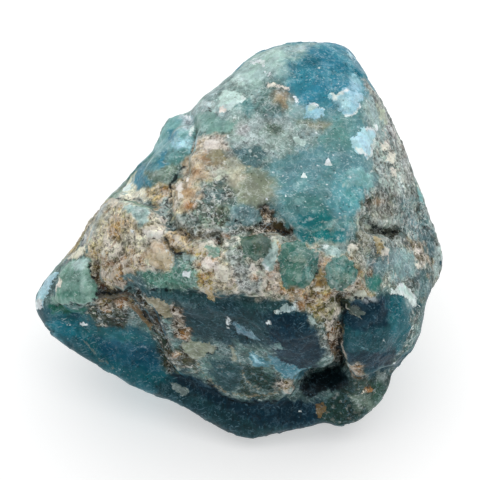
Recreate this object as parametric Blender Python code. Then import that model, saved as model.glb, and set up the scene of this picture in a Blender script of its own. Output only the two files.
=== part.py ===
"""A rough apatite stone, tumbled smooth, as one solid that rests on a small flat foot.

The stone is shaped lying on its back, with its broad face towards +Z, and is then
tipped up to the attitude in which it rests. Places on the broad face are read by eye
from the reference photograph, in its pixels, and METRES_PER_PIXEL makes them real sizes.
"""

import math

import bmesh
import bpy
import numpy as np
from mathutils import Matrix, Vector, noise

MM = 1e-3

STONE_WIDTH = 55 * MM  # from the left tip to the right end
FRONT_BULGE = 20.5 * MM  # how far the broad face rises above the widest outline
BACK_BULGE = 23.5 * MM  # how far the back goes below it
FACE_TILT = math.radians(40)  # how far the broad face is tipped up from lying flat
TABLE_DROP = 18.8 * MM  # from the middle of the outline down to the table
FOOT_PLACE = (1.3 * MM, 0.8 * MM)  # the flat foot's middle, from under the outline's middle
FOOT_RADIUS = 8.5 * MM
FOOT_SLOPE = 0.17  # how steeply the underside rises away from the foot
CELLS = 64  # quads along each side of the ball that the stone is shaped from
MOST_TRIANGLES = 9600

PHOTO_WIDTH = 408  # the stone's width in the photograph, in pixels
PHOTO_MIDDLE = (250, 252)  # the pixel taken as the outline's middle
PHOTO_AIM = (240, 240)  # the middle of the photograph
PHOTO_DISTANCE = 360 * MM  # how far the photograph was taken from
METRES_PER_PIXEL = STONE_WIDTH / PHOTO_WIDTH

# The widest outline, clockwise from the top, in pixels
OUTLINE = [
    (300, 43), (330, 42), (346, 46), (358, 60), (369, 82), (393, 127), (413, 174),
    (424, 197), (430, 217), (438, 236), (444, 260), (440, 279), (429, 292), (426, 307),
    (416, 336), (401, 361), (390, 374), (391, 381), (381, 401), (359, 420), (341, 425),
    (326, 420), (300, 429), (278, 434), (254, 439), (232, 435), (207, 421), (176, 402),
    (143, 391), (127, 385), (117, 377), (85, 358), (60, 341), (44, 326), (35, 309),
    (38, 292), (47, 278), (62, 262), (77, 246), (84, 232), (98, 213), (122, 187),
    (140, 163), (154, 151), (161, 129), (168, 117), (189, 113), (214, 90), (234, 73),
    (253, 55), (275, 46),
]

# Flat sides worn on the broad face: a pixel, the height there in mm, and how steeply
# the height falls to the right and down the face, in mm for each mm
FRONT_FACETS = [
    (300, 140, 13.2, 0.00, -0.50),  # the blue upper face
    (378, 150, 8.6, 2.10, -0.55),  # the steep right flank
    (214, 112, 7.6, -0.75, -0.95),  # the slope to the upper left edge
    (120, 240, 11.0, -0.95, -0.35),  # the crusted left shoulder
    (100, 335, 7.0, -0.30, 1.25),  # the blue slab along the lower left edge
    (270, 335, 17.6, -0.02, 0.42),  # the dark lower front
    (250, 412, 8.0, -0.02, 1.30),  # the roll under the lower front
    (385, 330, 12.4, 1.00, 0.50),  # the dark right end
    (415, 250, 8.6, 1.70, 0.00),  # the grey far right
]
FACET_ROUNDING = 3.0 * MM

# Flats broken off the back: which way each faces, as its turn round the face and its
# tilt away from straight back, in degrees, and how deep it cuts in mm
BACK_FLATS = [
    (75, 62, 2.6), (118, 50, 3.0), (100, 22, 2.2), (20, 48, 3.2), (338, 66, 1.6),
    (42, 20, 1.8), (165, 46, 3.4), (196, 66, 1.6), (215, 38, 2.8), (262, 58, 2.2),
    (300, 44, 2.6), (150, 74, 1.2), (50, 76, 1.0), (235, 74, 1.2),
]
FLAT_ROUNDING = 1.1 * MM

# Raised and sunken areas: a closed line of pixels, the rise and the width of its edge in mm
LOWER_SKIRT = [
    (30, 330), (60, 312), (98, 303), (128, 300), (150, 332), (163, 362), (178, 378),
    (205, 389), (240, 402), (264, 405), (292, 397), (303, 382), (340, 369), (352, 382),
    (372, 379), (396, 372), (420, 400), (330, 470), (200, 450), (60, 400),
]
HOLLOW_UNDER_OVERHANG = [
    (297, 384), (318, 373), (340, 368), (348, 380), (345, 392), (322, 399), (302, 396),
]
CRUSTED_SHOULDER = [
    (112, 200), (150, 205), (158, 222), (166, 240), (172, 256), (170, 268), (134, 269),
    (118, 282), (97, 288), (90, 265), (86, 245), (96, 218),
]
CORNER_CRYSTAL = [
    (56, 290), (64, 268), (80, 258), (91, 262), (93, 280), (98, 292), (90, 303), (55, 304),
]
LUMPS_BEHIND_SHOULDER = [
    (120, 190), (150, 145), (160, 110), (190, 112), (193, 128), (191, 150), (182, 168),
    (172, 182), (168, 200), (150, 204), (122, 198),
]
GRAINY_BAND = [
    (190, 242), (240, 240), (290, 243), (355, 245), (368, 262), (362, 285), (345, 298),
    (300, 300), (240, 294), (205, 296), (185, 275),
]
PIT_BESIDE_NOSE = [
    (262, 206), (271, 208), (283, 222), (293, 231), (292, 238), (276, 236), (262, 229),
]
FRONT_STEPS = [
    (LOWER_SKIRT, -2.6, 1.3),
    (HOLLOW_UNDER_OVERHANG, -4.2, 1.8),
    (CRUSTED_SHOULDER, 1.0, 1.0),
    (CORNER_CRYSTAL, 0.9, 0.8),
    (LUMPS_BEHIND_SHOULDER, -1.3, 1.0),
    (GRAINY_BAND, 0.7, 1.5),
    (PIT_BESIDE_NOSE, -1.3, 1.2),
]

# Rounded lumps and dents: a pixel, half length and half width in mm, the turn of the
# length in degrees, and the rise in mm
FRONT_LUMPS = [
    (176, 133, 2.6, 2.0, 70, 1.2),  # small blue lump on the upper left edge
    (152, 166, 3.4, 2.2, 45, 1.1),  # the lump below it
    (140, 220, 3.6, 2.6, 30, 0.8),  # top of the crusted shoulder
    (205, 165, 4.6, 3.2, 70, 0.9),  # tan knob beside the upper face
    (320, 205, 5.4, 4.2, 10, 0.9),  # the blue nose
    (298, 264, 3.0, 3.0, 0, 1.0),  # largest green grain in the band
    (339, 273, 2.7, 2.6, 0, 1.0),  # green grain at the band's right
    (257, 247, 2.4, 2.0, 0, 0.7),  # green grain at its top
    (222, 272, 3.2, 2.2, 10, 0.6),  # pale swell at its left
    (285, 335, 6.0, 4.6, 0, 1.3),  # dark crystal of the lower front
    (380, 325, 5.6, 5.0, 40, 1.6),  # dark crystal of the right end
    (362, 402, 3.6, 2.6, 35, 1.3),  # greenish lobe at the lower right
    (230, 380, 5.2, 2.0, -25, 0.7),  # rounded rim of the overhang
    (378, 211, 2.6, 2.2, 20, -0.8),  # dent under the edge of the blue face
    (432, 262, 2.0, 3.4, 0, 0.7),  # pale lump at the far right
    (118, 355, 6.4, 2.6, -30, 0.6),  # swell along the lower left slab
    (340, 80, 5.0, 4.0, 50, 0.5),  # swell near the top
]

# Cracks and clefts: pixels along the line, the depth and the half width in mm
FRONT_CLEFTS = [
    ([(343, 300), (352, 316), (339, 330), (337, 348), (342, 364)], 2.2, 1.1),  # beside the dark crystal
    ([(364, 218), (372, 227), (386, 230), (402, 232)], 2.2, 0.8),  # right of the nose
    ([(212, 212), (222, 219), (236, 225), (262, 228), (284, 234)], 0.8, 1.1),  # left of the nose
    ([(184, 166), (172, 182), (168, 200), (162, 216), (171, 228), (188, 236)], 1.5, 0.9),  # beside the knob
    ([(163, 237), (168, 250), (184, 254)], 1.3, 0.8),  # round the apricot lump
    ([(92, 262), (96, 282), (102, 292), (118, 293), (130, 296)], 1.9, 1.0),  # round the corner crystal
    ([(124, 280), (140, 302), (156, 330), (165, 350)], 1.7, 0.9),  # down the lower left
    ([(172, 288), (200, 292), (222, 300), (262, 303)], 0.9, 0.8),  # under the band
    ([(217, 236), (222, 243)], 1.6, 0.7),  # small hole in the band
    ([(121, 200), (136, 201), (152, 207)], 0.9, 0.6),  # behind the shoulder
    ([(192, 128), (192, 150)], 0.8, 0.6),  # beside the small blue lump
    ([(56, 305), (80, 306), (98, 300)], 1.0, 0.7),  # under the corner crystal
    ([(320, 243), (318, 272), (322, 286)], 0.8, 0.7),  # between the green grains
]

# The back is made up: it isn't in the photograph, so its pixels are those of the places
# on the broad face that it lies behind
CHIP_BEHIND_RIGHT_END = [(345, 290), (420, 250), (450, 300), (400, 380), (350, 370)]
LEDGE_BEHIND_LEFT = [(60, 250), (130, 190), (178, 232), (160, 300), (90, 320)]
BACK_STEPS = [(CHIP_BEHIND_RIGHT_END, -1.6, 1.6), (LEDGE_BEHIND_LEFT, 1.1, 1.4)]
BACK_LUMPS = [(200, 170, 6.0, 4.6, -30, 0.9), (180, 330, 5.6, 3.8, 10, 0.8)]
BACK_CLEFTS = [
    ([(232, 112), (262, 160), (258, 215), (300, 250)], 1.6, 1.1),
    ([(150, 215), (200, 235), (258, 215)], 1.2, 1.0),
    ([(110, 330), (160, 290), (170, 250)], 1.2, 1.0),
]

# How far edges and clefts waver, and the spacing of the wavering
FRONT_WAVER = 0.9 * MM
BACK_WAVER = 2.2 * MM
WAVER_SPACING = 3.2 * MM

BAND_MIDDLE = (250, 262)  # a pixel in the band of small grains that crosses the face
FRONT_GRAIN_SIZE = 4.6 * MM
FRONT_GRAIN_LIFT = 0.55 * MM
BACK_GRAIN_SIZE = 9.0 * MM
BACK_GRAIN_LIFT = 1.3 * MM

WEAR_LAYERS = [(9.0 * MM, 0.55 * MM), (4.2 * MM, 0.35 * MM), (2.2 * MM, 0.16 * MM)]  # spacing, rise


def on_face(x, y):
    """A photograph pixel as metres across and up the broad face."""
    across = (x - PHOTO_MIDDLE[0]) * METRES_PER_PIXEL
    up = (PHOTO_MIDDLE[1] - y) * METRES_PER_PIXEL
    return across, up


def smooth_step(low, high, value):
    share = np.clip((value - low) / (high - low), 0, 1)
    return share * share * (3 - 2 * share)


def lower_of(first, second, rounding):
    """The lower of two heights, with the edge where they meet rounded off."""
    share = np.clip(0.5 + 0.5 * (second - first) / rounding, 0, 1)
    return second * (1 - share) + first * share - rounding * share * (1 - share)


def points_of(stone):
    return np.array([vertex.co for vertex in stone.verts])


def move_points(stone, points):
    for vertex, point in zip(stone.verts, points):
        vertex.co = point
    stone.normal_update()


def ball_of_quads():
    """A cube cut into cells and blown up to a ball of radius 1."""
    ball = bmesh.new()
    bmesh.ops.create_cube(ball, size=2.0)
    bmesh.ops.subdivide_edges(ball, edges=ball.edges[:], cuts=CELLS - 1, use_grid_fill=True)
    for vertex in ball.verts:
        evened = Vector([math.tan(side * math.pi / 4) for side in vertex.co])
        vertex.co = evened.normalized()
    return ball


def outline_reach(angles):
    """How far the outline is from its middle at each angle round the face."""
    corners = np.array([on_face(x, y) for x, y in OUTLINE])
    turns = np.arctan2(corners[:, 1], corners[:, 0])
    reaches = np.hypot(corners[:, 0], corners[:, 1])
    order = np.argsort(turns)
    return np.interp(angles, turns[order], reaches[order], period=2 * math.pi)


def soft_reach(angles):
    """The outline with its small bumps averaged out, for the slopes inside it."""
    offsets = np.linspace(math.radians(-20), math.radians(20), 15)
    return sum(outline_reach(angles + offset) for offset in offsets) / len(offsets)


def facet_height(facet, across, up):
    x, y, height, to_right, down = facet
    at_across, at_up = on_face(x, y)
    return height * MM - to_right * (across - at_across) + down * (up - at_up)


def press_to_outline(ball):
    """The ball pressed into the outline, bulging both ways, with the front facets worn on."""
    front = ball[:, 2] > 0
    depth = np.abs(ball[:, 2])
    angles = np.arctan2(ball[:, 1], ball[:, 0])
    at_edge = 1 - smooth_step(0.03, np.where(front, 0.40, 0.20), depth)
    reach = soft_reach(angles) * (1 - at_edge) + outline_reach(angles) * at_edge
    reach *= np.hypot(ball[:, 0], ball[:, 1])
    across = reach * np.cos(angles)
    up = reach * np.sin(angles)
    worn = FRONT_BULGE * depth
    for facet in FRONT_FACETS:
        plane = np.maximum(facet_height(facet, across, up), 0.25 * FRONT_BULGE * depth)
        worn = lower_of(worn, plane, FACET_ROUNDING)
    return np.column_stack([across, up, np.where(front, worn, -BACK_BULGE * depth)])


def break_flats(points):
    """The points with each flat of the back cut across whatever stands past it."""
    for turn, tilt, cut in BACK_FLATS:
        sideways = math.sin(math.radians(tilt))
        facing = np.array([
            sideways * math.cos(math.radians(turn)),
            sideways * math.sin(math.radians(turn)),
            -math.cos(math.radians(tilt)),
        ])
        along = points @ facing
        past = along - (along.max() - cut * MM)
        removed = FLAT_ROUNDING * np.logaddexp(0, past / FLAT_ROUNDING)
        removed *= smooth_step(0, 5 * MM, -points[:, 2])
        points = points - removed[:, None] * facing
    return points


def as_seen(points):
    """Where each point lies in the photograph, which enlarges what is nearer."""
    across, up = on_face(*PHOTO_AIM)
    nearer = PHOTO_DISTANCE / (PHOTO_DISTANCE - points[:, 2])
    return across + (points[:, 0] - across) * nearer, up + (points[:, 1] - up) * nearer


def wavering(across, up, reach):
    """Places shifted one way and another, so that no edge or cleft runs straight."""
    spots = [Vector((x, y, 0)) / WAVER_SPACING for x, y in zip(across, up)]
    other_layer = Vector((0, 0, 5.5))
    across = across + reach * np.array([noise.noise(spot) for spot in spots])
    up = up + reach * np.array([noise.noise(spot + other_layer) for spot in spots])
    return across, up


def distance_to_line(across, up, corners):
    nearest = np.full(len(across), np.inf)
    for start, end in zip(corners, corners[1:]):
        run = np.subtract(end, start)
        share = ((across - start[0]) * run[0] + (up - start[1]) * run[1]) / (run @ run)
        share = np.clip(share, 0, 1)
        gap = np.hypot(across - start[0] - share * run[0], up - start[1] - share * run[1])
        nearest = np.minimum(nearest, gap)
    return nearest


def is_inside(across, up, corners):
    """True for the places that a closed line of corners holds."""
    held = np.zeros(len(across), bool)
    for start, end in zip(corners, corners[1:] + corners[:1]):
        if start[1] == end[1]:
            continue
        spans = (start[1] > up) != (end[1] > up)
        crossing = start[0] + (up - start[1]) * (end[0] - start[0]) / (end[1] - start[1])
        held ^= spans & (across < crossing)
    return held


def step_rise(across, up, step):
    pixels, rise, edge_width = step
    corners = [on_face(x, y) for x, y in pixels]
    gap = distance_to_line(across, up, corners + corners[:1])
    depth = np.where(is_inside(across, up, corners), gap, -gap)
    return rise * MM * smooth_step(-edge_width * MM / 2, edge_width * MM / 2, depth)


def lump_rise(across, up, lump):
    x, y, half_length, half_width, turn, rise = lump
    at_across, at_up = on_face(x, y)
    cos, sin = math.cos(math.radians(turn)), math.sin(math.radians(turn))
    along = (across - at_across) * cos + (up - at_up) * sin
    beside = (up - at_up) * cos - (across - at_across) * sin
    spread = np.hypot(along / (half_length * MM), beside / (half_width * MM))
    return rise * MM * (1 - smooth_step(0, 1.25, spread))


def cleft_rise(across, up, cleft):
    pixels, depth, half_width = cleft
    gap = distance_to_line(across, up, [on_face(x, y) for x, y in pixels])
    return -depth * MM * (1 - smooth_step(0, 1.35 * half_width * MM, gap))


def shaped_rise(across, up, steps, lumps, clefts):
    """How far each place is raised by one side's steps, lumps and clefts."""
    rise = sum(step_rise(across, up, step) for step in steps)
    rise = rise + sum(lump_rise(across, up, lump) for lump in lumps)
    return rise + sum(cleft_rise(across, up, cleft) for cleft in clefts)


def grain_rise(points, size, lift):
    """Crystal grains side by side, each a little proud, with a groove round it."""
    rise = np.zeros(len(points))
    for place, point in enumerate(points):
        gaps, middles = noise.voronoi(Vector(point) / size)
        own_lift = 0.25 + 0.75 * noise.cell(middles[0] * 7.3)
        rise[place] = own_lift * min(1.0, (gaps[1] - gaps[0]) / 0.35) - 0.4
    return rise * lift


def wear_rise(points):
    """The uneven wear that covers the whole stone."""
    rise = np.zeros(len(points))
    for layer, (spacing, lift) in enumerate(WEAR_LAYERS):
        shift = Vector((3.1 * layer, 7.7, 1.3))
        rise += lift * np.array([noise.noise(Vector(point) / spacing + shift) for point in points])
    return rise


def raise_relief(stone, front):
    """Raises and sinks the surface along its own normals, less so near the outline."""
    points = points_of(stone)
    normals = np.array([vertex.normal for vertex in stone.verts])
    across, up = wavering(*as_seen(points), np.where(front, FRONT_WAVER, BACK_WAVER))
    front_rise = shaped_rise(across, up, FRONT_STEPS, FRONT_LUMPS, FRONT_CLEFTS)
    back_rise = shaped_rise(across, up, BACK_STEPS, BACK_LUMPS, BACK_CLEFTS)
    from_band = np.abs(up - on_face(*BAND_MIDDLE)[1])
    in_band = 1 - smooth_step(6 * MM, 9 * MM, from_band)
    front_rise += (0.35 + 0.65 * in_band) * grain_rise(points, FRONT_GRAIN_SIZE, FRONT_GRAIN_LIFT)
    back_rise += grain_rise(points, BACK_GRAIN_SIZE, BACK_GRAIN_LIFT)
    inward = smooth_step(1 * MM, 5.5 * MM, np.abs(points[:, 2]))
    rise = inward * np.where(front, front_rise, back_rise)
    rise += (0.35 + 0.65 * inward) * wear_rise(points)
    move_points(stone, points + normals * rise[:, None])


def set_on_table(stone):
    """Tips the stone up, wears its foot flat and puts the origin under its box's middle."""
    tilt = Matrix.Rotation(FACE_TILT, 4, "X")
    bmesh.ops.transform(stone, matrix=tilt, verts=stone.verts)
    for vertex in stone.verts:
        from_foot = vertex.co.xy - Vector(FOOT_PLACE)
        uneven = 1 + 0.35 * noise.noise(from_foot.to_3d() / (9 * MM))
        clearance = FOOT_SLOPE * max(0.0, from_foot.length * uneven - FOOT_RADIUS)
        vertex.co.z = max(vertex.co.z + TABLE_DROP, clearance)
    points = points_of(stone)
    middle = (points.min(0) + points.max(0)) / 2
    bmesh.ops.translate(stone, vec=(-middle[0], -middle[1], 0), verts=stone.verts)


def shape_stone():
    stone = ball_of_quads()
    ball = points_of(stone)
    move_points(stone, break_flats(press_to_outline(ball)))
    bmesh.ops.smooth_vert(
        stone, verts=stone.verts, factor=0.5, use_axis_x=True, use_axis_y=True, use_axis_z=True
    )
    stone.normal_update()
    raise_relief(stone, ball[:, 2] > 0)
    set_on_table(stone)
    bmesh.ops.triangulate(stone, faces=stone.faces[:])
    return stone


def apatite():
    """The stone's blue green, with a waxy shine."""
    material = bpy.data.materials.new("apatite")
    material.use_nodes = True
    shader = material.node_tree.nodes["Principled BSDF"]
    shader.inputs["Base Color"].default_value = (0.10, 0.23, 0.25, 1.0)
    shader.inputs["Roughness"].default_value = 0.42
    shader.inputs["Metallic"].default_value = 0.0
    shader.inputs["IOR"].default_value = 1.63
    return material


def main():
    for old in list(bpy.data.objects):
        bpy.data.objects.remove(old)
    collection = bpy.data.collections.new("rough_apatite")
    bpy.context.scene.collection.children.link(collection)
    stone = shape_stone()
    share_kept = MOST_TRIANGLES / len(stone.faces)
    mesh = bpy.data.meshes.new("apatite_stone")
    stone.to_mesh(mesh)
    stone.free()
    mesh.materials.append(apatite())
    mesh.shade_smooth()
    node = bpy.data.objects.new("apatite_stone", mesh)
    collection.objects.link(node)
    thin_out = node.modifiers.new("thin out flat parts", "DECIMATE")
    thin_out.ratio = share_kept


main()
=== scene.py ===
import math

import bpy
import numpy as np
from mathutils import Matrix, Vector, noise


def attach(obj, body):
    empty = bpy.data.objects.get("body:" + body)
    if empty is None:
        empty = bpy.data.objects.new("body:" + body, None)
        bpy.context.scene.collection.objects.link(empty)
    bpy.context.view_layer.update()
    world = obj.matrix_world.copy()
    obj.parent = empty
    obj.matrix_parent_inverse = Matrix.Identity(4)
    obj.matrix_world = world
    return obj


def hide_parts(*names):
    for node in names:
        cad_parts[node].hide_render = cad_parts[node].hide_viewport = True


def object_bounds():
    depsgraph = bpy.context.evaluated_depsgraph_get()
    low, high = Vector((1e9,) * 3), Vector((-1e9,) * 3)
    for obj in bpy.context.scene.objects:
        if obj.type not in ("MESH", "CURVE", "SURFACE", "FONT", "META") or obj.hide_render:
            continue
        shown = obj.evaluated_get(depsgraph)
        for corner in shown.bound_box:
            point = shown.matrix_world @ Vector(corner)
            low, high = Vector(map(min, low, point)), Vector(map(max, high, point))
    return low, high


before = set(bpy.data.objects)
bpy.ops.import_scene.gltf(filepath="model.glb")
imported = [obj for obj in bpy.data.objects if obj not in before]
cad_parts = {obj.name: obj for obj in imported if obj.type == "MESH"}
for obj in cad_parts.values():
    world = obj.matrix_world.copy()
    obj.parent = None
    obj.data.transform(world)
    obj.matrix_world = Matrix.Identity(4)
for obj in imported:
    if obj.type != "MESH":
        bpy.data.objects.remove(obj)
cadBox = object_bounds()

mm = 0.001

# the camera looks along +Y and down; pixels are those of the 480 x 480 photograph
photoView = dict(
    elevation=50,
    distance=360 * mm,
    frameWidth=64.7 * mm,  # what 480 pixels span at the stone
    sensor=36.0,
    aim=(0.07 * mm, -0.08 * mm, 19.84 * mm),
)


def smoothStep(low, high, value):
    share = np.clip((value - low) / (high - low), 0, 1)
    return share * share * (3 - 2 * share)


def viewAxes():
    tilt = math.radians(photoView["elevation"])
    right = np.array([1, 0, 0])
    up = np.array([0, math.sin(tilt), math.cos(tilt)])
    towards = np.array([0, -math.cos(tilt), math.sin(tilt)])
    return right, up, towards


def addCamera():
    lens = bpy.data.cameras.new("photoCamera")
    lens.sensor_width = photoView["sensor"]
    lens.lens = photoView["sensor"] * photoView["distance"] / photoView["frameWidth"]
    camera = bpy.data.objects.new("photoCamera", lens)
    bpy.context.scene.collection.objects.link(camera)
    towards = Vector(viewAxes()[2])
    camera.location = Vector(photoView["aim"]) + towards * photoView["distance"]
    camera.rotation_euler = (math.radians(90 - photoView["elevation"]), 0, 0)
    bpy.context.scene.camera = camera


def seenAt(points):
    # pixels of the photograph in which each point is seen
    right, up, towards = viewAxes()
    fromAim = points - np.array(photoView["aim"])
    nearer = photoView["distance"] / (photoView["distance"] - fromAim @ towards)
    pixelsPerMetre = 480 / photoView["frameWidth"]
    x = 240 + fromAim @ right * nearer * pixelsPerMetre
    y = 240 - fromAim @ up * nearer * pixelsPerMetre
    return x, y


addCamera()
print("camera is in place")


# the stone's colours, rounded from values matched to the photograph: blue, green, grey, then crust
palette = dict(
    deepSky="#2e849a",
    faceBlue="#609298",
    softBlue="#5ca0a6",
    brightBlue="#98c8d8",
    lumpBlue="#7aaeb0",
    iceBlue="#b0dae6",
    flakeMid="#448090",
    flakeDeep="#688c9c",
    lagoon="#207c8c",
    oceanBlue="#14646e",
    petrol="#0e5864",
    midnight="#045268",
    crystalBlue="#124c56",
    navy="#042c3c",
    slate="#183e46",
    steelTeal="#285054",
    stormBlue="#54767a",
    slateBlue="#5e7e7c",
    blueGrey="#56706e",
    # painted shade, for cracks, clefts and the hollow under the dark blue mass
    creviceShade="#04141a",
    seaTeal="#4a8080",
    deepTeal="#107276",
    bottleGreen="#16624e",
    grainSea="#3a7a72",
    grainGreen="#164246",
    pineGreen="#385c4e",
    darkGreen="#1c3a34",
    jade="#508474",
    leafGreen="#5e908e",
    sageGreen="#688072",
    paleGrain="#6e9688",
    seaMist="#7ea69e",
    paleJade="#a6c4be",
    paleSea="#c8e0dc",
    paleCyan="#82a2a4",
    olive="#8c9480",
    oliveDark="#2a4034",
    slateDark="#3c4c3e",
    mossGrey="#384438",
    darkGrit="#1c241e",
    shadowGrey="#606c68",
    wetGrey="#688a8e",
    greyTeal="#96b0ae",
    stoneGrey="#70827e",
    smoke="#a6acaa",
    pinkGrey="#a6a698",
    clayGrey="#7a8076",
    mist="#a0b4b0",
    paleBlueGrey="#b2c8cc",
    frost="#e0eaea",
    bone="#e8e0d4",
    cream="#bac2b0",
    paleCrust="#ece8d0",
    sand="#c0baa4",
    clayTan="#bca88a",
    tan="#90886c",
    honey="#f2d8a4",
    ochre="#c8b06a",
    gold="#a89260",
    oldGold="#727048",
    copper="#745e3e",
    rust="#a8743c",
    redBrown="#5a3620",
    bronze="#342810",
    umber="#363624",
    # painted shade, for pits, notches and the wedge under the broad face
    pitShade="#38322a",
    earth="#2c261a",
)


def linearColour(code):
    steps = [int(code[place : place + 2], 16) / 255 for place in (1, 3, 5)]
    return [s / 12.92 if s <= 0.04045 else ((s + 0.055) / 1.055) ** 2.4 for s in steps]


def pixels(text):
    # "240,96 250,98" gives the two pixels of a line or an outline
    return np.array([[float(value) for value in pair.split(",")] for pair in text.split()])


# how each finish shows: grit is salt and pepper, crust is cream and rusty, fibre is fine lines
finishes = dict(
    glass=(0.12, 0.0, 0.0),
    misty=(0.5, 0.0, 0.0),
    grit=(1.0, 0.15, 0.0),
    crust=(0.7, 1.0, 0.0),
    fibre=(0.25, 0.0, 1.0),
)
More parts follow.
